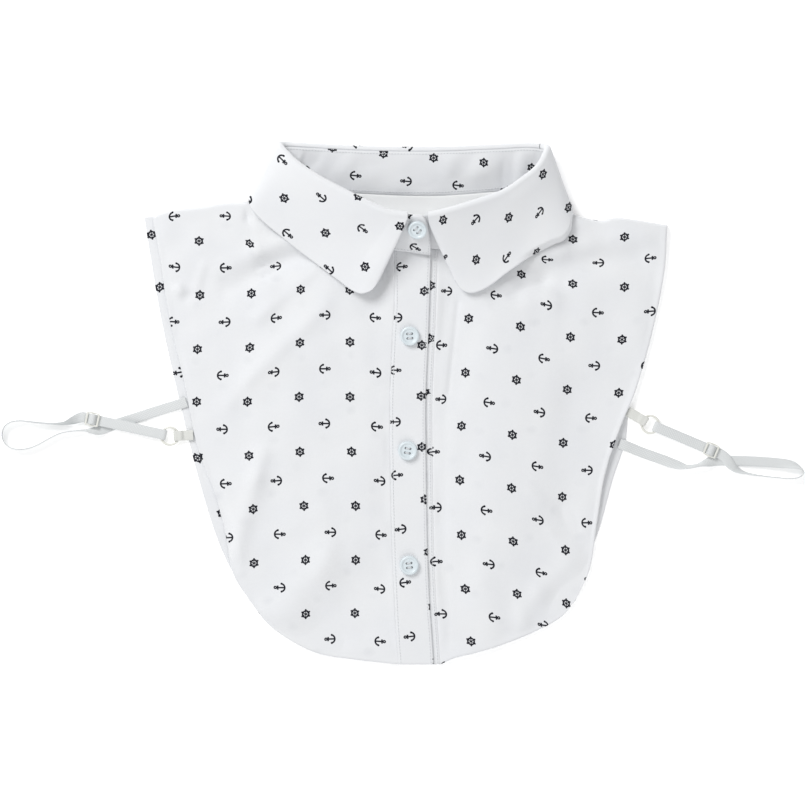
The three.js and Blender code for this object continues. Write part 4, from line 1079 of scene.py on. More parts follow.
# Woven cotton tape: off-white, a coarse plain weave that shows.
COTTON_TAPE = Finish("cotton_tape", "D0D1CC", "E6E7E3", threads=(("X", 0.5, 0.5), ("Y", 0.5, 0.5)),
                     gloss=(0.88, 0.88), relief=(0.0001, 0.7))


@dataclass
class StitchTree:
    """Geometry Nodes that lay stitches along lines on the cloth.

    Attributes:
        LABELS: Names of the tree's inputs.
        finish: Material of the thread.
        pitch: Length from one stitch to the next in millimetres.
        length: Length of one stitch.
        width: Width of the thread.
        tree: The tree.
        sockets: Identifier of each input.
    """

    LABELS: ClassVar[tuple[str, ...]] = ("Pitch", "Stitch Length", "Thread Width")
    finish: Material
    pitch: float = 1.9
    length: float = 1.3
    width: float = 0.5
    tree: Tree = field(init=False)
    sockets: dict[str, str] = field(init=False, default_factory=dict)

    def __post_init__(self) -> None:
        """Build the tree with its named inputs."""
        tree = bpy.data.node_groups.new("lockstitch", "GeometryNodeTree")
        tree.interface.new_socket("Geometry", in_out="OUTPUT", socket_type="NodeSocketGeometry")
        tree.interface.new_socket("Geometry", in_out="INPUT", socket_type="NodeSocketGeometry")
        for label in self.LABELS:
            socket = tree.interface.new_socket(label, in_out="INPUT", socket_type="NodeSocketFloat")
            self.sockets[label] = socket.identifier
        given = add_node(tree, "NodeGroupInput")
        curve = add_node(tree, "GeometryNodeMeshToCurve", {"Mesh": given.outputs["Geometry"]})
        spaced = add_node(tree, "GeometryNodeResampleCurve",
                          {"Curve": curve, "Length": given.outputs["Pitch"]}, mode="LENGTH")
        ball = add_node(tree, "GeometryNodeMeshUVSphere", {"Segments": 8, "Rings": 5, "Radius": 0.5})
        round_ball = add_node(tree, "GeometryNodeSetShadeSmooth", {"Geometry": ball})
        size = add_node(tree, "ShaderNodeCombineXYZ", {0: given.outputs["Stitch Length"],
                                                       1: given.outputs["Thread Width"],
                                                       2: given.outputs["Thread Width"]})
        tangent = add_node(tree, "GeometryNodeInputTangent")
        up = add_node(tree, "GeometryNodeInputNamedAttribute", {"Name": "face_up"},
                      data_type="FLOAT_VECTOR")
        ahead = add_node(tree, "FunctionNodeAlignRotationToVector", {"Vector": tangent}, axis="X")
        upright = add_node(tree, "FunctionNodeAlignRotationToVector",
                           {"Rotation": ahead, "Vector": up}, axis="Z", pivot_axis="X")
        sewn = add_node(tree, "GeometryNodeInstanceOnPoints",
                        {"Points": spaced, "Instance": round_ball, "Rotation": upright, "Scale": size})
        real = add_node(tree, "GeometryNodeRealizeInstances", {"Geometry": sewn})
        dressed = add_node(tree, "GeometryNodeSetMaterial", {"Geometry": real, "Material": self.finish})
        add_node(tree, "NodeGroupOutput", {"Geometry": dressed})
        self.tree = tree

    def sew(self, name: str, runs: Sequence[tuple[Array, Array]], sink: float = 0.3) -> Piece:
        """Sew lines of stitches as one piece.

        Args:
            name: Name of the piece.
            runs: Points and face normals of each line.
            sink: Share of the thread's width that lies in the cloth.

        Returns:
            The stitches as one plain mesh.
        """
        points, ups, edges = [], [], []
        for spots, normals in runs:
            start = len(points)
            lift = self.width * (0.5 - sink)
            points += [((spot + up * lift + SHIFT) * MM).tolist() for spot, up in zip(spots, normals)]
            ups += normals.tolist()
            edges += [(k, k + 1) for k in range(start, start + len(spots) - 1)]
        mesh = new_mesh(name, points, [], edges)
        layer = mesh.attributes.new("face_up", "FLOAT_VECTOR", "POINT")
        layer.data.foreach_set("vector", np.array(ups, dtype=np.float32).ravel())
        line = put(name + "_line", mesh)
        sewing = line.modifiers.new("sewing", "NODES")
        sewing.node_group = self.tree
        for label, value in zip(self.LABELS, (self.pitch, self.length, self.width)):
            sewing[self.sockets[label]] = value * MM
        piece = show(name, evaluated_mesh(line, name))
        return piece


def wall_grid(columns: int, rows: Sequence[float] | int, surface: Surface) -> Array:
    """Sample a surface on a grid of even columns and given rows."""
    shares = np.linspace(0, 1, rows + 1) if isinstance(rows, int) else np.array(rows, dtype=float)
    u, v = np.meshgrid(np.linspace(0, 1, columns + 1), shares)
    return surface(u, v)


def declare(piece: Piece, wall: Wall) -> None:
    """Report a wall's flat size and area in the log, under the piece's name."""
    size = wall.flat_size()
    wall.area()
    LOG.info("%s: flat %.0f by %.0f mm, %.4f square metres", piece.name, size[0] / MM, size[1] / MM,
             wall.area())


@dataclass
class BibBack:
    """Back panel that lies on the table, and the plain facing inside its neck.

    Attributes:
        finish: Printed cotton.
        plain: Plain cotton, drawn whiter than the printed cloth as painted light for the shaded neck facing.
        thread: Stitches.
        cloth: Thickness of the cloth.
        hem_width: Width of the turned hem.
        seam_inset: Distance of the hem's stitches inside the edge.
        facing_seam: The same for the facing.
        turned_edge: Where the cloth at the right shows its printed side.
        neck_starts: Share of the upper edge where the neck starts.
        neck_stops: Share where it stops.
    """

    finish: Material
    plain: Material
    thread: StitchTree
    cloth: float = 0.8
    hem_width: float = 6.0
    seam_inset: float = 4.6
    facing_seam: float = 3.2
    turned_edge: float = -112.0
    neck_starts: float = 0.25
    neck_stops: float = 0.8

    def outline(self) -> Surface:
        """Flat surface between the hem, the sides, the shoulders and the neck."""
        def shoulder(rows: Rows) -> list[tuple[float, float]]:
            """Points of the fronts' shoulder, moved back under their roll."""
            return [(x, y + SHOULDER_ROLL - BACK_INSET) for x, y, _ in rows]

        right = flat_curve([BACK_RIGHT_SIDE[-1], *shoulder(RIGHT_SHOULDER[1:-2]), *BACK_RIGHT_NECK])
        left = flat_curve([*BACK_LEFT_NECK, *shoulder(LEFT_SHOULDER[2:-1]), BACK_LEFT_SIDE[-1]])
        neck = flat_curve([BACK_RIGHT_NECK[-1], *map(under_stand, (10.3, 11, 12, 13, 14, 15)),
                           BACK_LEFT_NECK[0]])
        other = 1 - self.neck_starts
        rest = joined(neck, left, (self.neck_stops - self.neck_starts) / other)

        def top(share: Any) -> Array:
            """Upper boundary: shoulder, neck, shoulder."""
            share = np.asarray(share, dtype=float)
            return np.where((share <= self.neck_starts)[..., None], right.along(share / self.neck_starts),
                            rest((share - self.neck_starts) / other))

        return coons(flat_curve(BACK_HEM).along, top, flat_curve(BACK_RIGHT_SIDE).along,
                     flat_curve(BACK_LEFT_SIDE).along)

    def build(self) -> None:
        """Make both pieces with their stitches."""
        patch = self.outline()

        def middle(u: Array, v: Array) -> Array:
            """Middle surface on the table, raised over the collar's back part."""
            spots = patch(u, v)
            spots[..., 2] = PANEL / 2 + collar_under(spots[..., 0], spots[..., 1])
            return spots

        rows = np.concatenate([np.linspace(0, 0.8, 90), np.linspace(0.8, 1, 50)[1:]])
        grid = wall_grid(130, rows, middle)
        wall = Wall("bib_back", grid, self.cloth)
        wall.prints = wall.lay(BACK_PRINT)
        wall.ink_above = np.where(grid[..., 0] < self.turned_edge, 1.0, WRONG_SIDE_INK)
        sides = (Edge.FIRST_COLUMN, Edge.LAST_COLUMN, Edge.FIRST_ROW)
        wall.hem(sides, self.hem_width)
        for edge in sides:
            wall.groove(edge, self.seam_inset)
        piece = wall.build(self.finish, "back_panel")
        seams = self.thread.sew("bib_back_stitches", [
            wall.seam(edge, self.seam_inset, 0.02, 0.97, -1) for edge in sides], sink=0.5)
        declare(piece, wall)
        self.facing()

    def facing(self) -> None:
        """Make the plain facing below the back neck seam."""
        def middle(u: Array, v: Array) -> Array:
            """Middle surface just inside the back panel."""
            first, rows, outer, width = 11.2, 3.6, -15.5, 14.95
            ring = ring_frame(first + rows * u)
            spots = ring.base + flat_ground(ring.rise) * (outer + width * v)[..., None]
            relief = Crumple(seed=5, shortest=14, longest=40, depth=0.12).at(spots[..., 0], spots[..., 1])
            spots[..., 2] = 1.5 * PANEL + 2 * GAP + collar_under(spots[..., 0], spots[..., 1])
            spots[..., 2] += np.clip(relief * np.sin(np.pi * v), -0.1, 0.4)
            return spots

        grid = wall_grid(150, 16, middle)
        wall = Wall("neck_facing", grid, self.cloth)
        wall.prints = wall.lay(GHOST_PRINT)
        wall.groove(Edge.FIRST_ROW, self.facing_seam)
        piece = wall.build(self.plain, "back_neck_facing")
        seams = self.thread.sew("neck_facing_stitches", [wall.seam(Edge.FIRST_ROW, self.facing_seam)])
        declare(piece, wall)


PLACKET_LEFT = Spline([(left, y, z) for y, left, _, z in PLACKET_ROWS])
PLACKET_RIGHT = Spline([(right, y, z) for y, _, right, z in PLACKET_ROWS])


class Side(Enum):
    """The wearer's sides."""

    RIGHT = "right"
    LEFT = "left"


@dataclass
class BibFront:
    """Front half of one side, with narrow hems at its side and bottom.

    Attributes:
        side: The wearer's side.
        finish: Printed cotton that the layer below shows through.
        cloth: Thickness of the cloth.
        hem_width: Width of the turned hems.
        hem_seam: Distance of their shallow groove inside the edge.
        tuck: Depth by which the left half is drawn down beside the lower placket.
    """

    side: Side
    finish: Material
    cloth: float = 0.7
    hem_width: float = 2.6
    hem_seam: float = 3.0
    tuck: float = 1.2

    def centre(self, share: Any) -> Array:
        """Edge beside the plackets, from the hem to the neck."""
        upward = 1 - np.asarray(share, dtype=float)
        if self.side is Side.RIGHT:
            return PLACKET_LEFT.along(upward) - np.array([GAP, 0, 0])
        return PLACKET_RIGHT.along(upward) + np.array([UNDER_SHOWS + GAP, 0, -PLACKET_STEP])

    def middle(self) -> Surface:
        """Work out the middle surface with its folds and its roll over the shoulder."""
        ends = (self.centre(0.0), self.centre(1.0))
        if self.side is Side.RIGHT:
            share = 0.46
            neck = Spline([RIGHT_SHOULDER[-1]] + [under_stand(t) for t in (7, 6, 5, 4, 3.1)] + [ends[1]])
            top = joined(Spline(RIGHT_SHOULDER), neck, share)
            hem = Spline([*RIGHT_HEM[:-1], ends[0]])
            patch = coons(hem.along, top, Spline(RIGHT_SIDE).along, self.centre)
            spans = ((0.0, 0.06), (share - 0.02, share + 0.05))
        else:
            share = 0.56
            neck = Spline([ends[1]] + [under_stand(t) for t in (21.4, 21, 20, 19, 18)] + [LEFT_SHOULDER[0]])
            top = joined(neck, Spline(LEFT_SHOULDER), share)
            hem = Spline([ends[0], *LEFT_HEM[1:]])
            patch = coons(hem.along, top, self.centre, Spline(LEFT_SIDE).along)
            spans = ((share - 0.05, share + 0.02), (1.01, 1.02))
        clearance = 2 * PANEL + GAP
        least_roll = 0.4
        relief = Crumple(seed=11 if self.side is Side.RIGHT else 23, shortest=16, longest=70, depth=0.32)

        def surface(u: Array, v: Array) -> Array:
            """Point of the middle surface; v above 1 is the roll at the shoulder."""
            inside = np.minimum(v, 1)
            spots = patch(u, inside)
            x, y = spots[..., 0], spots[..., 1]
            fine = fold_height(x, y, CREASES) + relief.at(x, y)
            bumps = (fold_height(x, y, FOLDS) * off_edges(u, inside, 0.12, 0.07, 0.1)
                     + fine * off_edges(u, inside, 0.04, 0.03, 0.03))
            level = relaxed(spots[..., 2], smooth(0.86, 1.0, inside))
            if self.side is Side.LEFT:
                beside = between((0, 0.075), (0.1, 0.45), u)
                level -= self.tuck * beside * between((0, 0.05), (0.86, 0.95), inside)
            spots[..., 2] = np.maximum(level + bumps, clearance + collar_under(x, y))
            roll = np.clip(v - 1, 0, 1)
            on_shoulder = between(*spans, u)
            angle = roll * np.pi / 2
            drop = spots[..., 2] - SHOULDER_FLOOR - collar_under(x, y)
            along = flat_ground(patch(np.minimum(u + 0.01, 1), np.ones_like(u))
                                - patch(np.maximum(u - 0.01, 0), np.ones_like(u)))
            forward = (least_roll + (SHOULDER_ROLL - least_roll) * on_shoulder) * np.sin(angle)
            spots[..., 0] -= along[..., 1] * forward
            spots[..., 1] += along[..., 0] * forward
            spots[..., 2] -= drop * on_shoulder * (1 - np.cos(angle))
            return spots
        return surface

    def build(self) -> None:
        """Make the half with its hems and their shallow grooves."""
        name = f"bib_front_{self.side.value}"
        rows = np.concatenate([np.linspace(0, 1, 176), 1 + np.linspace(0, 1, 9)[1:]])
        grid = wall_grid(140, rows, self.middle())
        wall = Wall(name, grid, self.cloth, ink_below=WRONG_SIDE_INK)
        wall.prints = wall.lay(RIGHT_FRONT_PRINT if self.side is Side.RIGHT else LEFT_FRONT_PRINT)
        wall.shadow_prints = wall.lay(GHOST_PRINT)
        outer = Edge.FIRST_COLUMN if self.side is Side.RIGHT else Edge.LAST_COLUMN
        wall.hem((outer, Edge.FIRST_ROW), self.hem_width)
        for edge in (outer, Edge.FIRST_ROW):
            wall.groove(edge, self.hem_seam, 0.08, 0.6)
        declare(wall.build(self.finish, f"front_panel_{self.side.value}"), wall)


@dataclass
class Plackets:
    """Upper band with the buttonholes and lower band with the buttons.

    Attributes:
        finish: Printed cotton.
        thread: Stitches.
        cloth: Thickness of the cloth.
        seam_inset: Distance of the stitches inside both edges.
    """

    finish: Material
    thread: StitchTree
    cloth: float = 1.0
    seam_inset: float = 1.3

    def upper(self, u: Array, v: Array) -> Array:
        """Middle surface of the upper band."""
        left, right = PLACKET_LEFT.along(1 - v), PLACKET_RIGHT.along(1 - v)
        spots = left + (right - left) * u[..., None]
        relief = Crumple(seed=7, shortest=16, longest=46, depth=0.16).at(spots[..., 0] * 0.4, spots[..., 1])
        spots[..., 2] += np.clip(relief, -0.12, 0.5) * smooth(0, 0.03, v) * smooth(0, 0.04, 1 - v)
        return spots

    def lower(self, u: Array, v: Array) -> Array:
        """Middle surface of the lower band, which shows at the right."""
        left, right = PLACKET_LEFT.along(1 - v), PLACKET_RIGHT.along(1 - v)
        left[..., 0] += UNDER_STARTS
        left[..., 2] = right[..., 2]
        right[..., 0] += UNDER_SHOWS
        return left + (right - left) * u[..., None] - PLACKET_STEP * UP

    def build(self) -> None:
        """Make both bands with their stitches."""
        for name, node, surface, lay, under in (
                ("placket", "button_placket", self.upper, PLACKET_PRINT, "placket_under"),
                ("placket_under", "under_placket", self.lower, UNDER_PLACKET_PRINT, "bib_back")):
            wall = Wall(name, wall_grid(22, 230, surface), self.cloth)
            wall.prints = wall.lay(lay)
            edges = (Edge.FIRST_COLUMN, Edge.LAST_COLUMN)
            for edge in edges:
                wall.groove(edge, self.seam_inset)
            piece = wall.build(self.finish, node)
            seams = self.thread.sew(name + "_stitches", [
                wall.seam(edge, self.seam_inset, 0.005, 0.995) for edge in edges])
            declare(piece, wall)


@dataclass
class Collar:
    """Stand round the neck and the leaf that turns down over it.

    Attributes:
        finish: Printed cotton.
        thread: Stitches.
        cloth: Thickness of the cloth.
        bulge: Rise of the buttoned tab in the middle of its width.
        curl: Height that the left leaf's outer edge bends down by.
        curl_width: Width of the strip that bends down.
    """

    finish: Material
    thread: StitchTree
    cloth: float = 1.0
    bulge: float = 2.4
    curl: float = 4.6
    curl_width: float = 3.8

    def stand_surface(self, u: Array, v: Array) -> Array:
        """Middle surface of the stand, softly crumpled inside the back of the neck."""
        place = u * RING_ROWS
        ring = ring_frame(place)
        tall = ring.height - ROLL_RADIUS - LEAF / 2 - 2.5 * GAP
        spots = ring.base + ring.rise * tall * np.asarray(v)[..., None]
        back = between((9.6, 11), (15, 16.2), place)
        relief = Crumple(seed=31, shortest=8, longest=19, depth=0.75).at(u * 460.0 - v * 4.0, v * 9.0) + 0.4
        relief = np.clip(relief, -0.25, 1.8) * np.sin(np.pi * v) ** 0.7 * back
        front = 1 - smooth(2.2, 3.8, place)
        relief = relief - self.bulge * front * np.sin(np.pi * (0.18 + 0.82 * v))
        spots -= ring.out * relief[..., None]
        return spots

    def leaf_surface(self, s: Array, v: Array) -> Array:
        """Middle surface of the leaf; v below 0 is the roll over the stand's top edge."""
        table = Spline([(row[0], row[4], 0) for row in LEAF_EDGE]).at(s)
        place, level = table[..., 0], table[..., 1][..., None]
        ring = ring_frame(place)
        edge = Spline([row[1:4] for row in LEAF_EDGE]).at(s)
        centre = ring.fold - ring.rise * (ROLL_RADIUS + LEAF / 2) + ring.out * ROLL_RADIUS
        angle = (np.pi * (1 + np.minimum(v, 0)))[..., None]
        rolled = centre - ring.out * ROLL_RADIUS * np.cos(angle) + ring.rise * ROLL_RADIUS * np.sin(angle)
        start = centre + ring.out * ROLL_RADIUS
        leaving = start - ring.rise * level * 0.6
        arriving = edge + flat_ground(start - edge) * level
        t = np.maximum(v, 0)[..., None]
        turned = (start * (1 - t) ** 3 + leaving * 3 * t * (1 - t) ** 2
                  + arriving * 3 * t * t * (1 - t) + edge * t ** 3)
        spots = np.where((v <= 0)[..., None], rolled, turned)
        front = 1 - between((8.2, 9.2), (16.6, 17.6), place)
        relief = Crumple(seed=41, shortest=20, longest=70, depth=0.3).at(spots[..., 0], spots[..., 1])
        spots[..., 2] += relief * front * smooth(0, 0.25, np.maximum(v, 0))
        inside = np.linalg.norm(start - edge, axis=-1) * (1 - np.clip(v, 0, 1))
        curled = between((16.7, 17.4), (19.2, 20.4), place)
        spots[..., 2] -= self.curl * curled * (1 - smooth(0, self.curl_width, inside))
        return spots

    def build(self) -> None:
        """Make both pieces with their stitches."""
        columns = 420
        wall = Wall("collar_band", wall_grid(columns, 18, self.stand_surface), self.cloth)
        inside = smooth(4.0, 7.0, np.linspace(0, RING_ROWS, columns + 1))[None, :, None]
        wall.prints = wall.lay(STAND_TAB_PRINT) * (1 - inside) + wall.lay(INNER_STAND_PRINT) * inside
        low, high, end = 1.5, 1.2, 1.4
        wall.groove(Edge.FIRST_ROW, low)
        wall.groove(Edge.LAST_ROW, high)
        wall.groove(Edge.FIRST_COLUMN, end)
        piece = wall.build(self.finish, "collar_stand")
        seams = self.thread.sew("collar_band_stitches", [
            wall.seam(Edge.FIRST_ROW, low, 0.004, 0.2, -1), wall.seam(Edge.FIRST_ROW, 1.9, 0.2, 0.95),
            wall.seam(Edge.LAST_ROW, high, 0.3, 0.8), wall.seam(Edge.FIRST_COLUMN, end, 0.08, 0.95, -1)])
        declare(piece, wall)

        rows = np.concatenate([np.linspace(-1, 0, 13)[:-1], np.linspace(0, 1, 61)])
        columns = 330
        wall = Wall("collar_leaf_turned", wall_grid(columns, rows, self.leaf_surface), self.cloth)
        shares = np.linspace(0, 1, columns + 1)[None, :, None]
        behind, other = smooth(0.375, 0.405, shares), smooth(0.56, 0.595, shares)
        wall.prints = (wall.lay(RIGHT_LEAF_PRINT) * (1 - behind) + wall.lay(BACK_LEAF_PRINT) * behind
                       * (1 - other) + wall.lay(LEFT_LEAF_PRINT) * other)
        piece = wall.build(self.finish, "collar_leaf")
        declare(piece, wall)


@dataclass
class Buttons:
    """Four-hole shirt buttons with their thread.

    Attributes:
        finish: Material of the buttons.
        thread: Material of their thread.
        stand: Middle surface of the stand.
        size: Scale of the turned button.
        hole: Radius of a hole.
        hole_offset: Distance of the holes from both middle lines.
        sides: Number of sides of the turned button.
        sharp: Angle in degrees from which an edge is drawn sharp.
        strand: Radius of the thread.
        places: The placket's buttons: x, y and turn in degrees.
        neck_places: Middle of the neck button on the stand, then places beside, below and above
            it: row of NECK_RING and share of the height.
        neck_spin: Turn of the neck button in degrees.
    """

    finish: Material
    thread: Material
    stand: Surface
    size: float = 1.03
    hole: float = 0.72
    hole_offset: float = 1.35
    sides: int = 56
    sharp: float = 38.0
    strand: float = 0.2
    places: tuple[tuple[float, float, float], ...] = ((4.5, 41.2, 4), (3.2, -29.8, -9), (4.2, -100.8, 7))
    neck_places: tuple[tuple[float, float], ...] = ((1.43, 0.67), (1.65, 0.67), (1.43, 0.57), (1.43, 0.77))
    neck_spin: float = 44

    def body(self) -> Mesh:
        """Turn the button and cut its four holes, with its axis along Z at the origin."""
        profile = [(0.0, 0.0), (4.6, 0.0), (5.2, 0.25), (5.6, 0.75), (5.74, 1.25), (5.66, 1.75),
                   (5.4, 2.1), (5.0, 2.28), (4.6, 2.26), (4.25, 2.05), (4.0, 1.78), (3.7, 1.6),
                   (3.2, 1.52), (2.0, 1.5), (0.0, 1.5)]
        count = self.sides
        points, faces = [(0.0, 0.0, 0.0)], []
        for out, z in profile[1:-1]:
            points += [(out * math.cos(2 * math.pi * k / count), out * math.sin(2 * math.pi * k / count), z)
                       for k in range(count)]
        points.append((0.0, 0.0, profile[-1][1]))
        rings = len(profile) - 2
        for k in range(count):
            after = (k + 1) % count
            faces.append((0, 1 + after, 1 + k))
            faces += [(1 + r * count + k, 1 + r * count + after, 1 + (r + 1) * count + after,
                       1 + (r + 1) * count + k) for r in range(rings - 1)]
            faces.append((1 + (rings - 1) * count + k, 1 + (rings - 1) * count + after, len(points) - 1))
        blank = put("button_blank", new_mesh("button_blank", points, faces))
        drill = bmesh.new()
        for side_x, side_y in ((1, 1), (1, -1), (-1, 1), (-1, -1)):
            spot = Matrix.Translation((side_x * self.hole_offset, side_y * self.hole_offset, 1.0))
            bmesh.ops.create_cone(drill, cap_ends=True, segments=20, radius1=self.hole,
                                  radius2=self.hole, depth=4.0, matrix=spot)
        drills = bpy.data.meshes.new("drills")
        drill.to_mesh(drills)
        drill.free()
        cutter = put("drills", drills)
        cut = blank.modifiers.new("holes", "BOOLEAN")
        cut.operation = "DIFFERENCE"
        cut.object = cutter
        cut.solver = "EXACT"
        result = evaluated_mesh(blank, "button_body")
        bpy.data.objects.remove(cutter)
        return result

    def place(self, name: str, node: str, source: Mesh, spot: Array,
              normal: Array, lift: float, spin: float) -> None:
        """Set one button on the cloth with its thread.

        Args:
            name: Name of the piece.
            node: Solid that the piece stands for.
            source: Button at the origin.
            spot: Point on the cloth's middle surface.
            normal: Direction of the button's axis.
            lift: Height of the button's underside above that point.
            spin: Turn about the axis in degrees.
        """
        turn = Vector((0, 0, 1)).rotation_difference(Vector(normal)).to_matrix().to_4x4()
        where = Matrix.Translation(Vector((spot + normal * lift + SHIFT) * MM))
        whole = (where @ turn @ Matrix.Rotation(math.radians(spin), 4, "Z")
                 @ Matrix.Scale(MM * self.size, 4))
        mesh = source.copy()
        mesh.transform(whole)
        mesh.materials.clear()
        mesh.materials.append(self.finish)
        mesh.shade_smooth()
        mesh.set_sharp_from_angle(angle=math.radians(self.sharp))
        piece = show(name, mesh)
        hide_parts(node)
        points, faces = [], []
        offset = self.hole_offset
        for y in (-offset - self.strand, -offset + self.strand, offset - self.strand, offset + self.strand):
            line = [(-offset, y, 0.2), (-offset, y, 1.25), (-offset * 0.75, y, 1.72), (0, y, 1.9),
                    (offset * 0.75, y, 1.72), (offset, y, 1.25), (offset, y, 0.2)]
            spots, strips = tube(np.array(line), self.strand, 8)
            faces += [[v + len(points) for v in strip] for strip in strips]
            points += spots.tolist()
        strands = new_mesh(name + "_thread", points, faces)
        strands.transform(whole)
        strands.shade_smooth()
        strands.materials.append(self.thread)
        show(name + "_thread", strands)
        LOG.info("%s placed", name)

    def build(self) -> None:
        """Make the four buttons."""
        def both(share: float) -> Array:
            """Sum of the placket's two edges at a share of its length from the neck."""
            return PLACKET_LEFT.along(share) + PLACKET_RIGHT.along(share)

        source = self.body()
        top, hem = PLACKET_ROWS[0][0], PLACKET_ROWS[-1][0]
        for number, (x, y, spin) in enumerate(self.places, 1):
            down = 1 - (y - hem) / (top - hem)
            spot = both(down) / 2
            normal = unit(np.cross([1.0, 0, 0], both(down - 0.01) - both(down + 0.01)))
            spot[0] = x
            self.place(f"shirt_button_{number}", f"placket_button_{number}", source, spot, normal,
                       PLACKET / 2 + GAP, spin)
        place, height = np.array(self.neck_places).T
        spots = self.stand(place / RING_ROWS, height)
        normal = unit(np.cross(spots[3] - spots[2], spots[1] - spots[0]))
        self.place("neck_button", "stand_button", source, spots[0], normal, STAND / 2 + GAP, self.neck_spin)


def skin(rings: int, sides: int, closed: bool = False) -> list[list[int]]:
    """Faces between rings of vertices that follow each other, closed like a hoop if asked."""
    faces = []
    for ring in range(rings if closed else rings - 1):
        for side in range(sides):
            a, b = ring * sides, (ring + 1) % rings * sides
            after = (side + 1) % sides
            faces.append([a + side, b + side, b + after, a + after])
    return faces


def tube(line: Array, radius: float, sides: int) -> tuple[Array, list[list[int]]]:
    """Round tube along a line that stays near one plane, closed at its ends.

    Args:
        line: Points of the middle line.
        radius: Radius of the tube.
        sides: Number of sides.

    Returns:
        Vertices and faces.
    """
    ahead = unit(np.gradient(line, axis=0))
    aside = unit(np.cross(ahead, [0.0, 1.0, 0.0]))
    third = np.cross(aside, ahead)
    turns = np.linspace(0, 2 * np.pi, sides, endpoint=False)
    rings = (line[:, None] + radius * (np.cos(turns)[None, :, None] * aside[:, None]
                                       + np.sin(turns)[None, :, None] * third[:, None]))
    last = (len(line) - 1) * sides
    ends = [list(range(sides)), list(range(last + sides - 1, last - 1, -1))]
    return rings.reshape(-1, 3), skin(len(line), sides) + ends


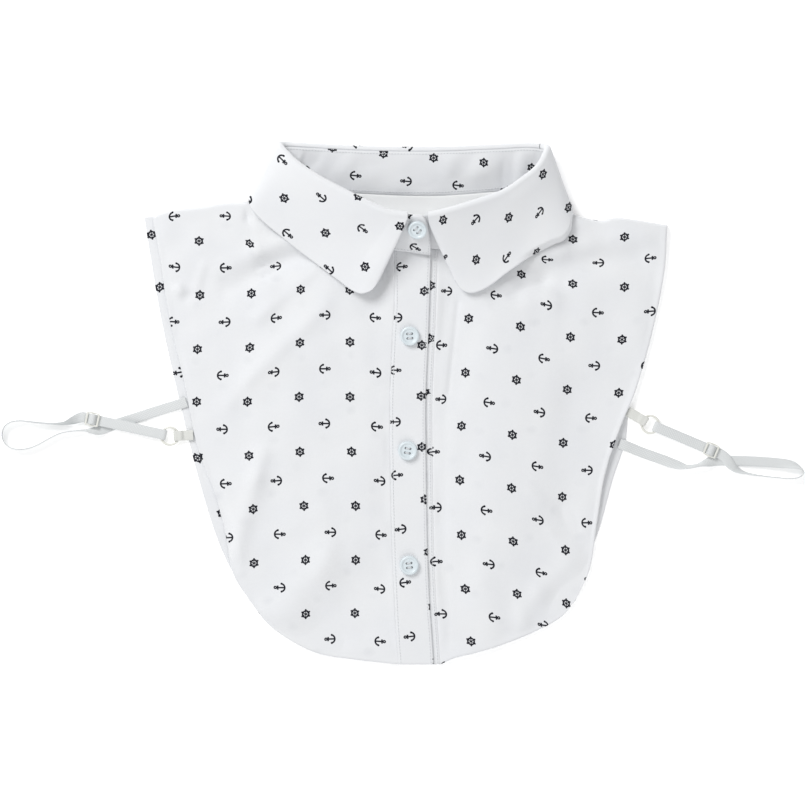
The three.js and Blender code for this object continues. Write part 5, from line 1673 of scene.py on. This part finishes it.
@dataclass
class SideStrap:
    """Adjustable elastic strap of one side with its slider, ring and tab.

    Attributes:
        side: The wearer's side.
        slack: Single run from the back panel to the slider.
        slider: Middle of the slider.
        ring: Middle of the ring.
        anchor: Where the tab meets the front's edge.
        lift: Height that the single run lifts the slider by.
        elastic: Material of the elastic.
        metal: Material of the slider and the ring.
        tape: Material of the tab.
        width: Width of the elastic.
        thickness: Room that the elastic takes in height.
        wire: Radius of the ring's wire.
        ring_radius: Radius of the ring to the middle of its wire.
        ring_height: Height of the ring's middle over the table.
        tab_width: Width of the tab.
        tab_tape: Room that its tape takes in height.
        rib_pitch: Length from one rib of the elastic to the next.
        plate: Thickness of the slider.
        slider_lift: Height of the slider's lower elastic over the table without that lift.
    """

    side: Side
    slack: Rows
    slider: tuple[float, float]
    ring: tuple[float, float]
    anchor: tuple[float, float]
    lift: float
    elastic: Material
    metal: Material
    tape: Material
    width: float = 6.4
    thickness: float = 0.8
    wire: float = 0.8
    ring_radius: float = 5.4
    ring_height: float = 2.3
    tab_width: float = 6.2
    tab_tape: float = 0.7
    rib_pitch: float = 0.95
    plate: float = 1.0
    slider_lift: float = 0.6

    @staticmethod
    def frame(start: tuple[float, float], stop: tuple[float, float]) -> tuple[Array, Array, Array]:
        """Origin at the first place, direction to the second, and direction across."""
        origin = np.array([*start, 0.0])
        ahead = unit(np.array([*stop, 0.0]) - origin)
        return origin, ahead, np.array([-ahead[1], ahead[0], 0.0])

    def doubled_run(self) -> Array:
        """Line of the doubled run from the slider round the ring and back: distance and height."""
        length = math.dist(self.slider, self.ring)
        lower = self.slider_lift + self.lift
        upper = lower + self.thickness + GAP
        over_bar = upper + self.thickness + self.plate + 2 * GAP
        turn = self.wire + GAP + self.thickness / 2
        bend = length + 0.35 - math.sqrt(self.ring_radius ** 2 - (self.width / 2) ** 2)
        arc = [(bend + turn * math.cos(math.radians(d)), self.ring_height + turn * math.sin(math.radians(d)))
               for d in (60, 30, 0, -30, -60)]
        high, low = self.ring_height + turn, self.ring_height - turn
        return np.array([
            (-6.2, upper), (-2.7, upper), (-0.9, over_bar), (0.9, over_bar), (2.7, upper), (8, upper),
            (length / 2, (upper + high) / 2), (bend - 3, high), (bend, high), *arc, (bend, low),
            (bend - 3, low), (length / 2, (lower + low) / 2), (8, lower), (4.6, lower),
            (2.6, lower + 0.1), (1.0, lower + 0.9), (-0.4, upper)])

    def path(self) -> tuple[Array, Array]:
        """Whole path of the elastic: points and directions of its width."""
        middle = Spline([row[:3] for row in self.slack])
        leans = Spline([(k, row[3], 0) for k, row in enumerate(self.slack)])
        shares = np.linspace(0, 1, (len(self.slack) - 1) * 2 + 1)
        spots = middle.at(shares)
        ahead = unit(middle.at(shares + 1e-4) - middle.at(shares - 1e-4))
        aside = unit(np.cross(ahead, UP))
        lean = np.radians(leans.at(shares)[:, 1])[:, None]
        widths = aside * np.cos(lean) + UP * np.sin(lean)
        start, forward, across = self.frame(self.slider, self.ring)
        run = self.doubled_run()
        run_spots = start + run[:, :1] * forward + run[:, 1:] * UP
        sign = 1.0 if float(np.dot(widths[-1], across)) > 0 else -1.0
        return (np.vstack([spots, run_spots]),
                np.vstack([widths, np.repeat(sign * across[None], len(run), axis=0)]))

    def band(self, name: str, points: Array, widths: Array, width: float, thickness: float,
             ribs: float, finish: Material, step: float = 0.32) -> Piece:
        """Make a soft band along a path.

        Args:
            name: Name of the piece.
            points: Points of the middle line.
            widths: Direction of the band's width at each point.
            width: Width of the band.
            thickness: Thickness of the band.
            ribs: Depth of the cross ribs.
            finish: Material.
            step: Spacing of the cross sections.

        Returns:
            The band.
        """
        walk = np.concatenate([[0], np.cumsum(np.linalg.norm(np.diff(points, axis=0), axis=1))])
        count = int(walk[-1] / step)
        places = np.linspace(0, walk[-1], count)
        knots = np.interp(places, walk, np.linspace(0, 1, len(points)))
        line = Spline(points).at(knots)
        across = Spline(widths).at(knots)
        ahead = unit(np.gradient(line, axis=0))
        across = unit(across - ahead * np.sum(across * ahead, axis=1, keepdims=True))
        face = np.cross(ahead, across)
        pulse = 1 + ribs * np.cos(2 * np.pi * places / self.rib_pitch)
        half = [(-0.5, 0.0), (-0.485, -0.32), (-0.45, -0.47), (-0.2, -0.5), (0.2, -0.5), (0.45, -0.47),
                (0.485, -0.32)]
        section = half + [(-w, -t) for w, t in half]
        sides = len(section)
        vertices = np.concatenate([
            (line + across * (w * width) + face * (t * thickness * pulse)[:, None])[:, None]
            for w, t in section], axis=1).reshape(-1, 3)
        faces = [[a, d, c, b] for a, b, c, d in skin(count, sides)]
        last = (count - 1) * sides
        faces += [list(range(sides - 1, -1, -1)), list(range(last, last + sides))]
        maps = np.stack([np.repeat(places, sides), np.tile([w * width for w, _ in section], count)], axis=-1)
        return mesh_piece(name, vertices, faces, finish, {"band": maps})

    def hoop(self) -> Piece:
        """Make the round ring."""
        big, small = 64, 16
        u, v = np.meshgrid(np.linspace(0, 2 * np.pi, big, endpoint=False),
                           np.linspace(0, 2 * np.pi, small, endpoint=False), indexing="ij")
        out = self.ring_radius + self.wire * np.cos(v)
        points = np.stack([out * np.cos(u), out * np.sin(u), self.wire * np.sin(v)], -1).reshape(-1, 3)
        points += np.array([*self.ring, self.ring_height])
        return mesh_piece(f"ring_{self.side.value}", points, skin(big, small, closed=True), self.metal)

    def slider_plate(self) -> Piece:
        """Make the slider: a plate with rounded ends and rims round its two slots."""
        bar, slot, inner, rail, rounding, soft_edge = 1.2, 2.4, 7.0, 0.95, 0.55, 0.28
        length, width = 3 * bar + 2 * slot, inner + 2 * rail
        start, forward, across = self.frame(self.slider, self.ring)
        base = self.slider_lift + self.lift + 1.5 * self.thickness + 2 * GAP
        bm = bmesh.new()
        columns = [-length / 2, -length / 2 + bar, -bar / 2, bar / 2, length / 2 - bar, length / 2]
        lines = [-width / 2, -inner / 2, inner / 2, width / 2]
        fine_x = sorted(set(columns + [(a + b) / 2 for a, b in zip(columns, columns[1:])]))
        verts = {}
        for level, z in enumerate((0.0, self.plate)):
            for i, x in enumerate(fine_x):
                for j, y in enumerate(lines):
                    narrowed = rounding * (2 * x / length) ** 2 if j in (0, 3) else 0.0
                    verts[level, i, j] = bm.verts.new((x, y - math.copysign(narrowed, y), z))
        filled = set()
        for i in range(len(fine_x) - 1):
            centre = (fine_x[i] + fine_x[i + 1]) / 2
            open_x = bar / 2 < abs(centre) < length / 2 - bar
            for j in range(3):
                if not (open_x and j == 1):
                    filled.add((i, j))
        for i, j in filled:
            bm.faces.new([verts[1, i, j], verts[1, i + 1, j], verts[1, i + 1, j + 1], verts[1, i, j + 1]])
            bm.faces.new([verts[0, i, j + 1], verts[0, i + 1, j + 1], verts[0, i + 1, j], verts[0, i, j]])
            for (di, dj), (a, b) in {(-1, 0): ((0, 1), (0, 0)), (1, 0): ((1, 0), (1, 1)),
                                     (0, -1): ((0, 0), (1, 0)), (0, 1): ((1, 1), (0, 1))}.items():
                if (i + di, j + dj) not in filled:
                    one, two = (i + a[0], j + a[1]), (i + b[0], j + b[1])
                    bm.faces.new([verts[0, *one], verts[0, *two], verts[1, *two], verts[1, *one]])
        bmesh.ops.recalc_face_normals(bm, faces=bm.faces)
        mesh = bpy.data.meshes.new("slider")
        bm.to_mesh(mesh)
        bm.free()
        blank = put("slider", mesh)
        bevel = blank.modifiers.new("soft edges", "BEVEL")
        bevel.width = soft_edge
        bevel.segments = 3
        bevel.limit_method = "ANGLE"
        mesh = evaluated_mesh(blank, f"slider_{self.side.value}")
        axes = np.column_stack([forward, across, UP, start + base * UP + SHIFT]) * MM
        mesh.transform(Matrix([*axes.tolist(), (0, 0, 0, 1)]))
        mesh.materials.append(self.metal)
        mesh.shade_smooth()
        mesh.set_sharp_from_angle(angle=math.radians(50))
        return show(f"slider_{self.side.value}", mesh)

    def tab(self) -> Piece:
        """Make the tape folded round the ring's wire."""
        start, ahead, across = self.frame(self.ring, self.anchor)
        length = math.dist(self.ring, self.anchor)
        half = self.wire + GAP
        sag = self.ring_radius - math.sqrt(self.ring_radius ** 2 - (self.tab_width / 2) ** 2)
        near, far = self.ring_radius - sag - half - 0.3, self.ring_radius + half
        z, tape = self.ring_height, self.tab_tape
        low, meet = z - 0.8, far + 2.2
        over, under = z + half + tape / 2, z - half - tape / 2
        high, deep = low + 1.5 * tape, low + tape / 2
        line = [(length, high), ((length + meet) / 2, high), (meet, high), (far + 0.4, over),
                ((near + far) / 2, over), (near + 0.1, over), (near - tape / 2, z + half / 2),
                (near - tape / 2, z - half / 2), (near + 0.1, under), ((near + far) / 2, under),
                (far + 0.4, under), (meet, deep), ((length + meet) / 2, deep), (length, deep)]
        points = np.array([start + x * ahead + height * UP for x, height in line])
        widths = np.repeat(across[None], len(line), axis=0)
        return self.band(f"tape_tab_{self.side.value}", points, widths, self.tab_width, tape - 0.04, 0.0,
                         self.tape, 0.25)

    def build(self) -> None:
        """Make the strap and its fittings."""
        points, widths = self.path()
        strap = self.band(f"elastic_{self.side.value}", points, widths, self.width, self.thickness - 0.06,
                          0.09, self.elastic)
        for piece, node, slot in (
                (strap, "strap", "elastic"), (self.hoop(), "strap_ring", "hardware_plastic"),
                (self.slider_plate(), "strap_slider", "hardware_plastic"), (self.tab(), "ring_tab", "tape")):
            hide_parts(f"{node}_{self.side.value}")
        LOG.info("%s strap: %.0f mm of elastic", self.side.value,
                 np.linalg.norm(np.diff(points, axis=0), axis=1).sum())


@dataclass
class Studio:
    """Pale table, a window at the upper left, a white card opposite, and the camera straight above.

    Attributes:
        frame_width: Width in metres of what the camera sees on the table.
        focal_length: Focal length in millimetres, long so that heights hardly move places.
        sensor: Width of its sensor in millimetres.
        room_light: Strength of the even light from all round.
        table_half: Half of the table's side in metres.
    """

    frame_width: float = 0.4991
    focal_length: float = 360.0
    sensor: float = 36.0
    room_light: float = 0.45
    table_half: float = 6.0

    def build(self) -> None:
        """Make the table, the lights and the camera."""
        scene = bpy.context.scene
        scene.view_settings.view_transform = "Standard"
        scene.world = bpy.data.worlds.new("soft_room")
        scene.world.use_nodes = True
        background = scene.world.node_tree.nodes["Background"]
        background.inputs[0].default_value = (1, 1, 1, 1)
        background.inputs[1].default_value = self.room_light
        # White paper that glows a little, which keeps the table white to the picture's edges.
        material, _, shader = new_material("white_table_paper")
        for name, value in {"Base Color": linear("FCFCFC"), "Roughness": 0.9,
                            "Emission Color": (1, 1, 1, 1), "Emission Strength": 0.3}.items():
            shader.inputs[name].default_value = value
        far = self.table_half
        mesh = new_mesh("table", [(-far, -far, 0), (far, -far, 0), (far, far, 0), (-far, far, 0)],
                        [(0, 1, 2, 3)])
        mesh.materials.append(material)
        put("table", mesh)
        self.light("window", (-1.3, 1.5, 1.75), size=1.2, power=43.5)
        self.light("white_card", (0.4, -1.7, 1.3), size=1.6, power=16.0)
        data = bpy.data.cameras.new("camera")
        data.sensor_width = self.sensor
        data.lens = self.focal_length
        data.clip_end = 50.0
        camera = put("camera", data)
        distance = self.focal_length / self.sensor * self.frame_width
        camera.location = (SHIFT[0] * MM, SHIFT[1] * MM, distance)
        scene.camera = camera

    def light(self, name: str, place: tuple[float, float, float], size: float, power: float) -> None:
        """Make one soft area light that faces the garment."""
        data = bpy.data.lights.new(name, "AREA")
        data.size = size
        data.energy = power
        lamp = put(name, data)
        lamp.location = place
        lamp.rotation_euler = (-Vector(place)).to_track_quat("-Z", "Y").to_euler()


def main() -> None:
    """Build the garment piece by piece."""
    logging.basicConfig(level=logging.INFO, format="%(message)s")
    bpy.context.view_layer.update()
    Studio().build()
    cotton = Poplin("printed_cotton_poplin").build()
    fronts = Poplin("printed_cotton_poplin_over_print", shows_below=True).build()
    # Plain unprinted cotton, drawn whiter than the printed cloth: painted light that brightens the neck
    # facing where the collar shades it.
    plain = Poplin("plain_cotton_poplin_painted_light", printed=False, colour="F6F7F7", light="FAFBFB").build()
    yarn = SEWING_THREAD.build()
    thread = StitchTree(yarn)
    BibBack(cotton, plain, thread).build()
    for side in Side:
        BibFront(side, fronts).build()
    Plackets(cotton, thread).build()
    collar = Collar(cotton, thread)
    collar.build()
    Buttons(BUTTON_RESIN.build(), yarn, collar.stand_surface).build()
    fittings = {"elastic": ELASTIC.build(), "metal": COATED_METAL.build(), "tape": COTTON_TAPE.build()}
    SideStrap(Side.RIGHT, RIGHT_SLACK, slider=(-192.2, -10.4), ring=(-144.2, -20.8),
              anchor=(-129.7, -20.2), lift=1.15, **fittings).build()
    SideStrap(Side.LEFT, LEFT_SLACK, slider=(191.3, -29.5), ring=(153.5, -13.6),
              anchor=(139.6, -5.5), lift=0.0, **fittings).build()


if __name__ == "__main__":
    main()
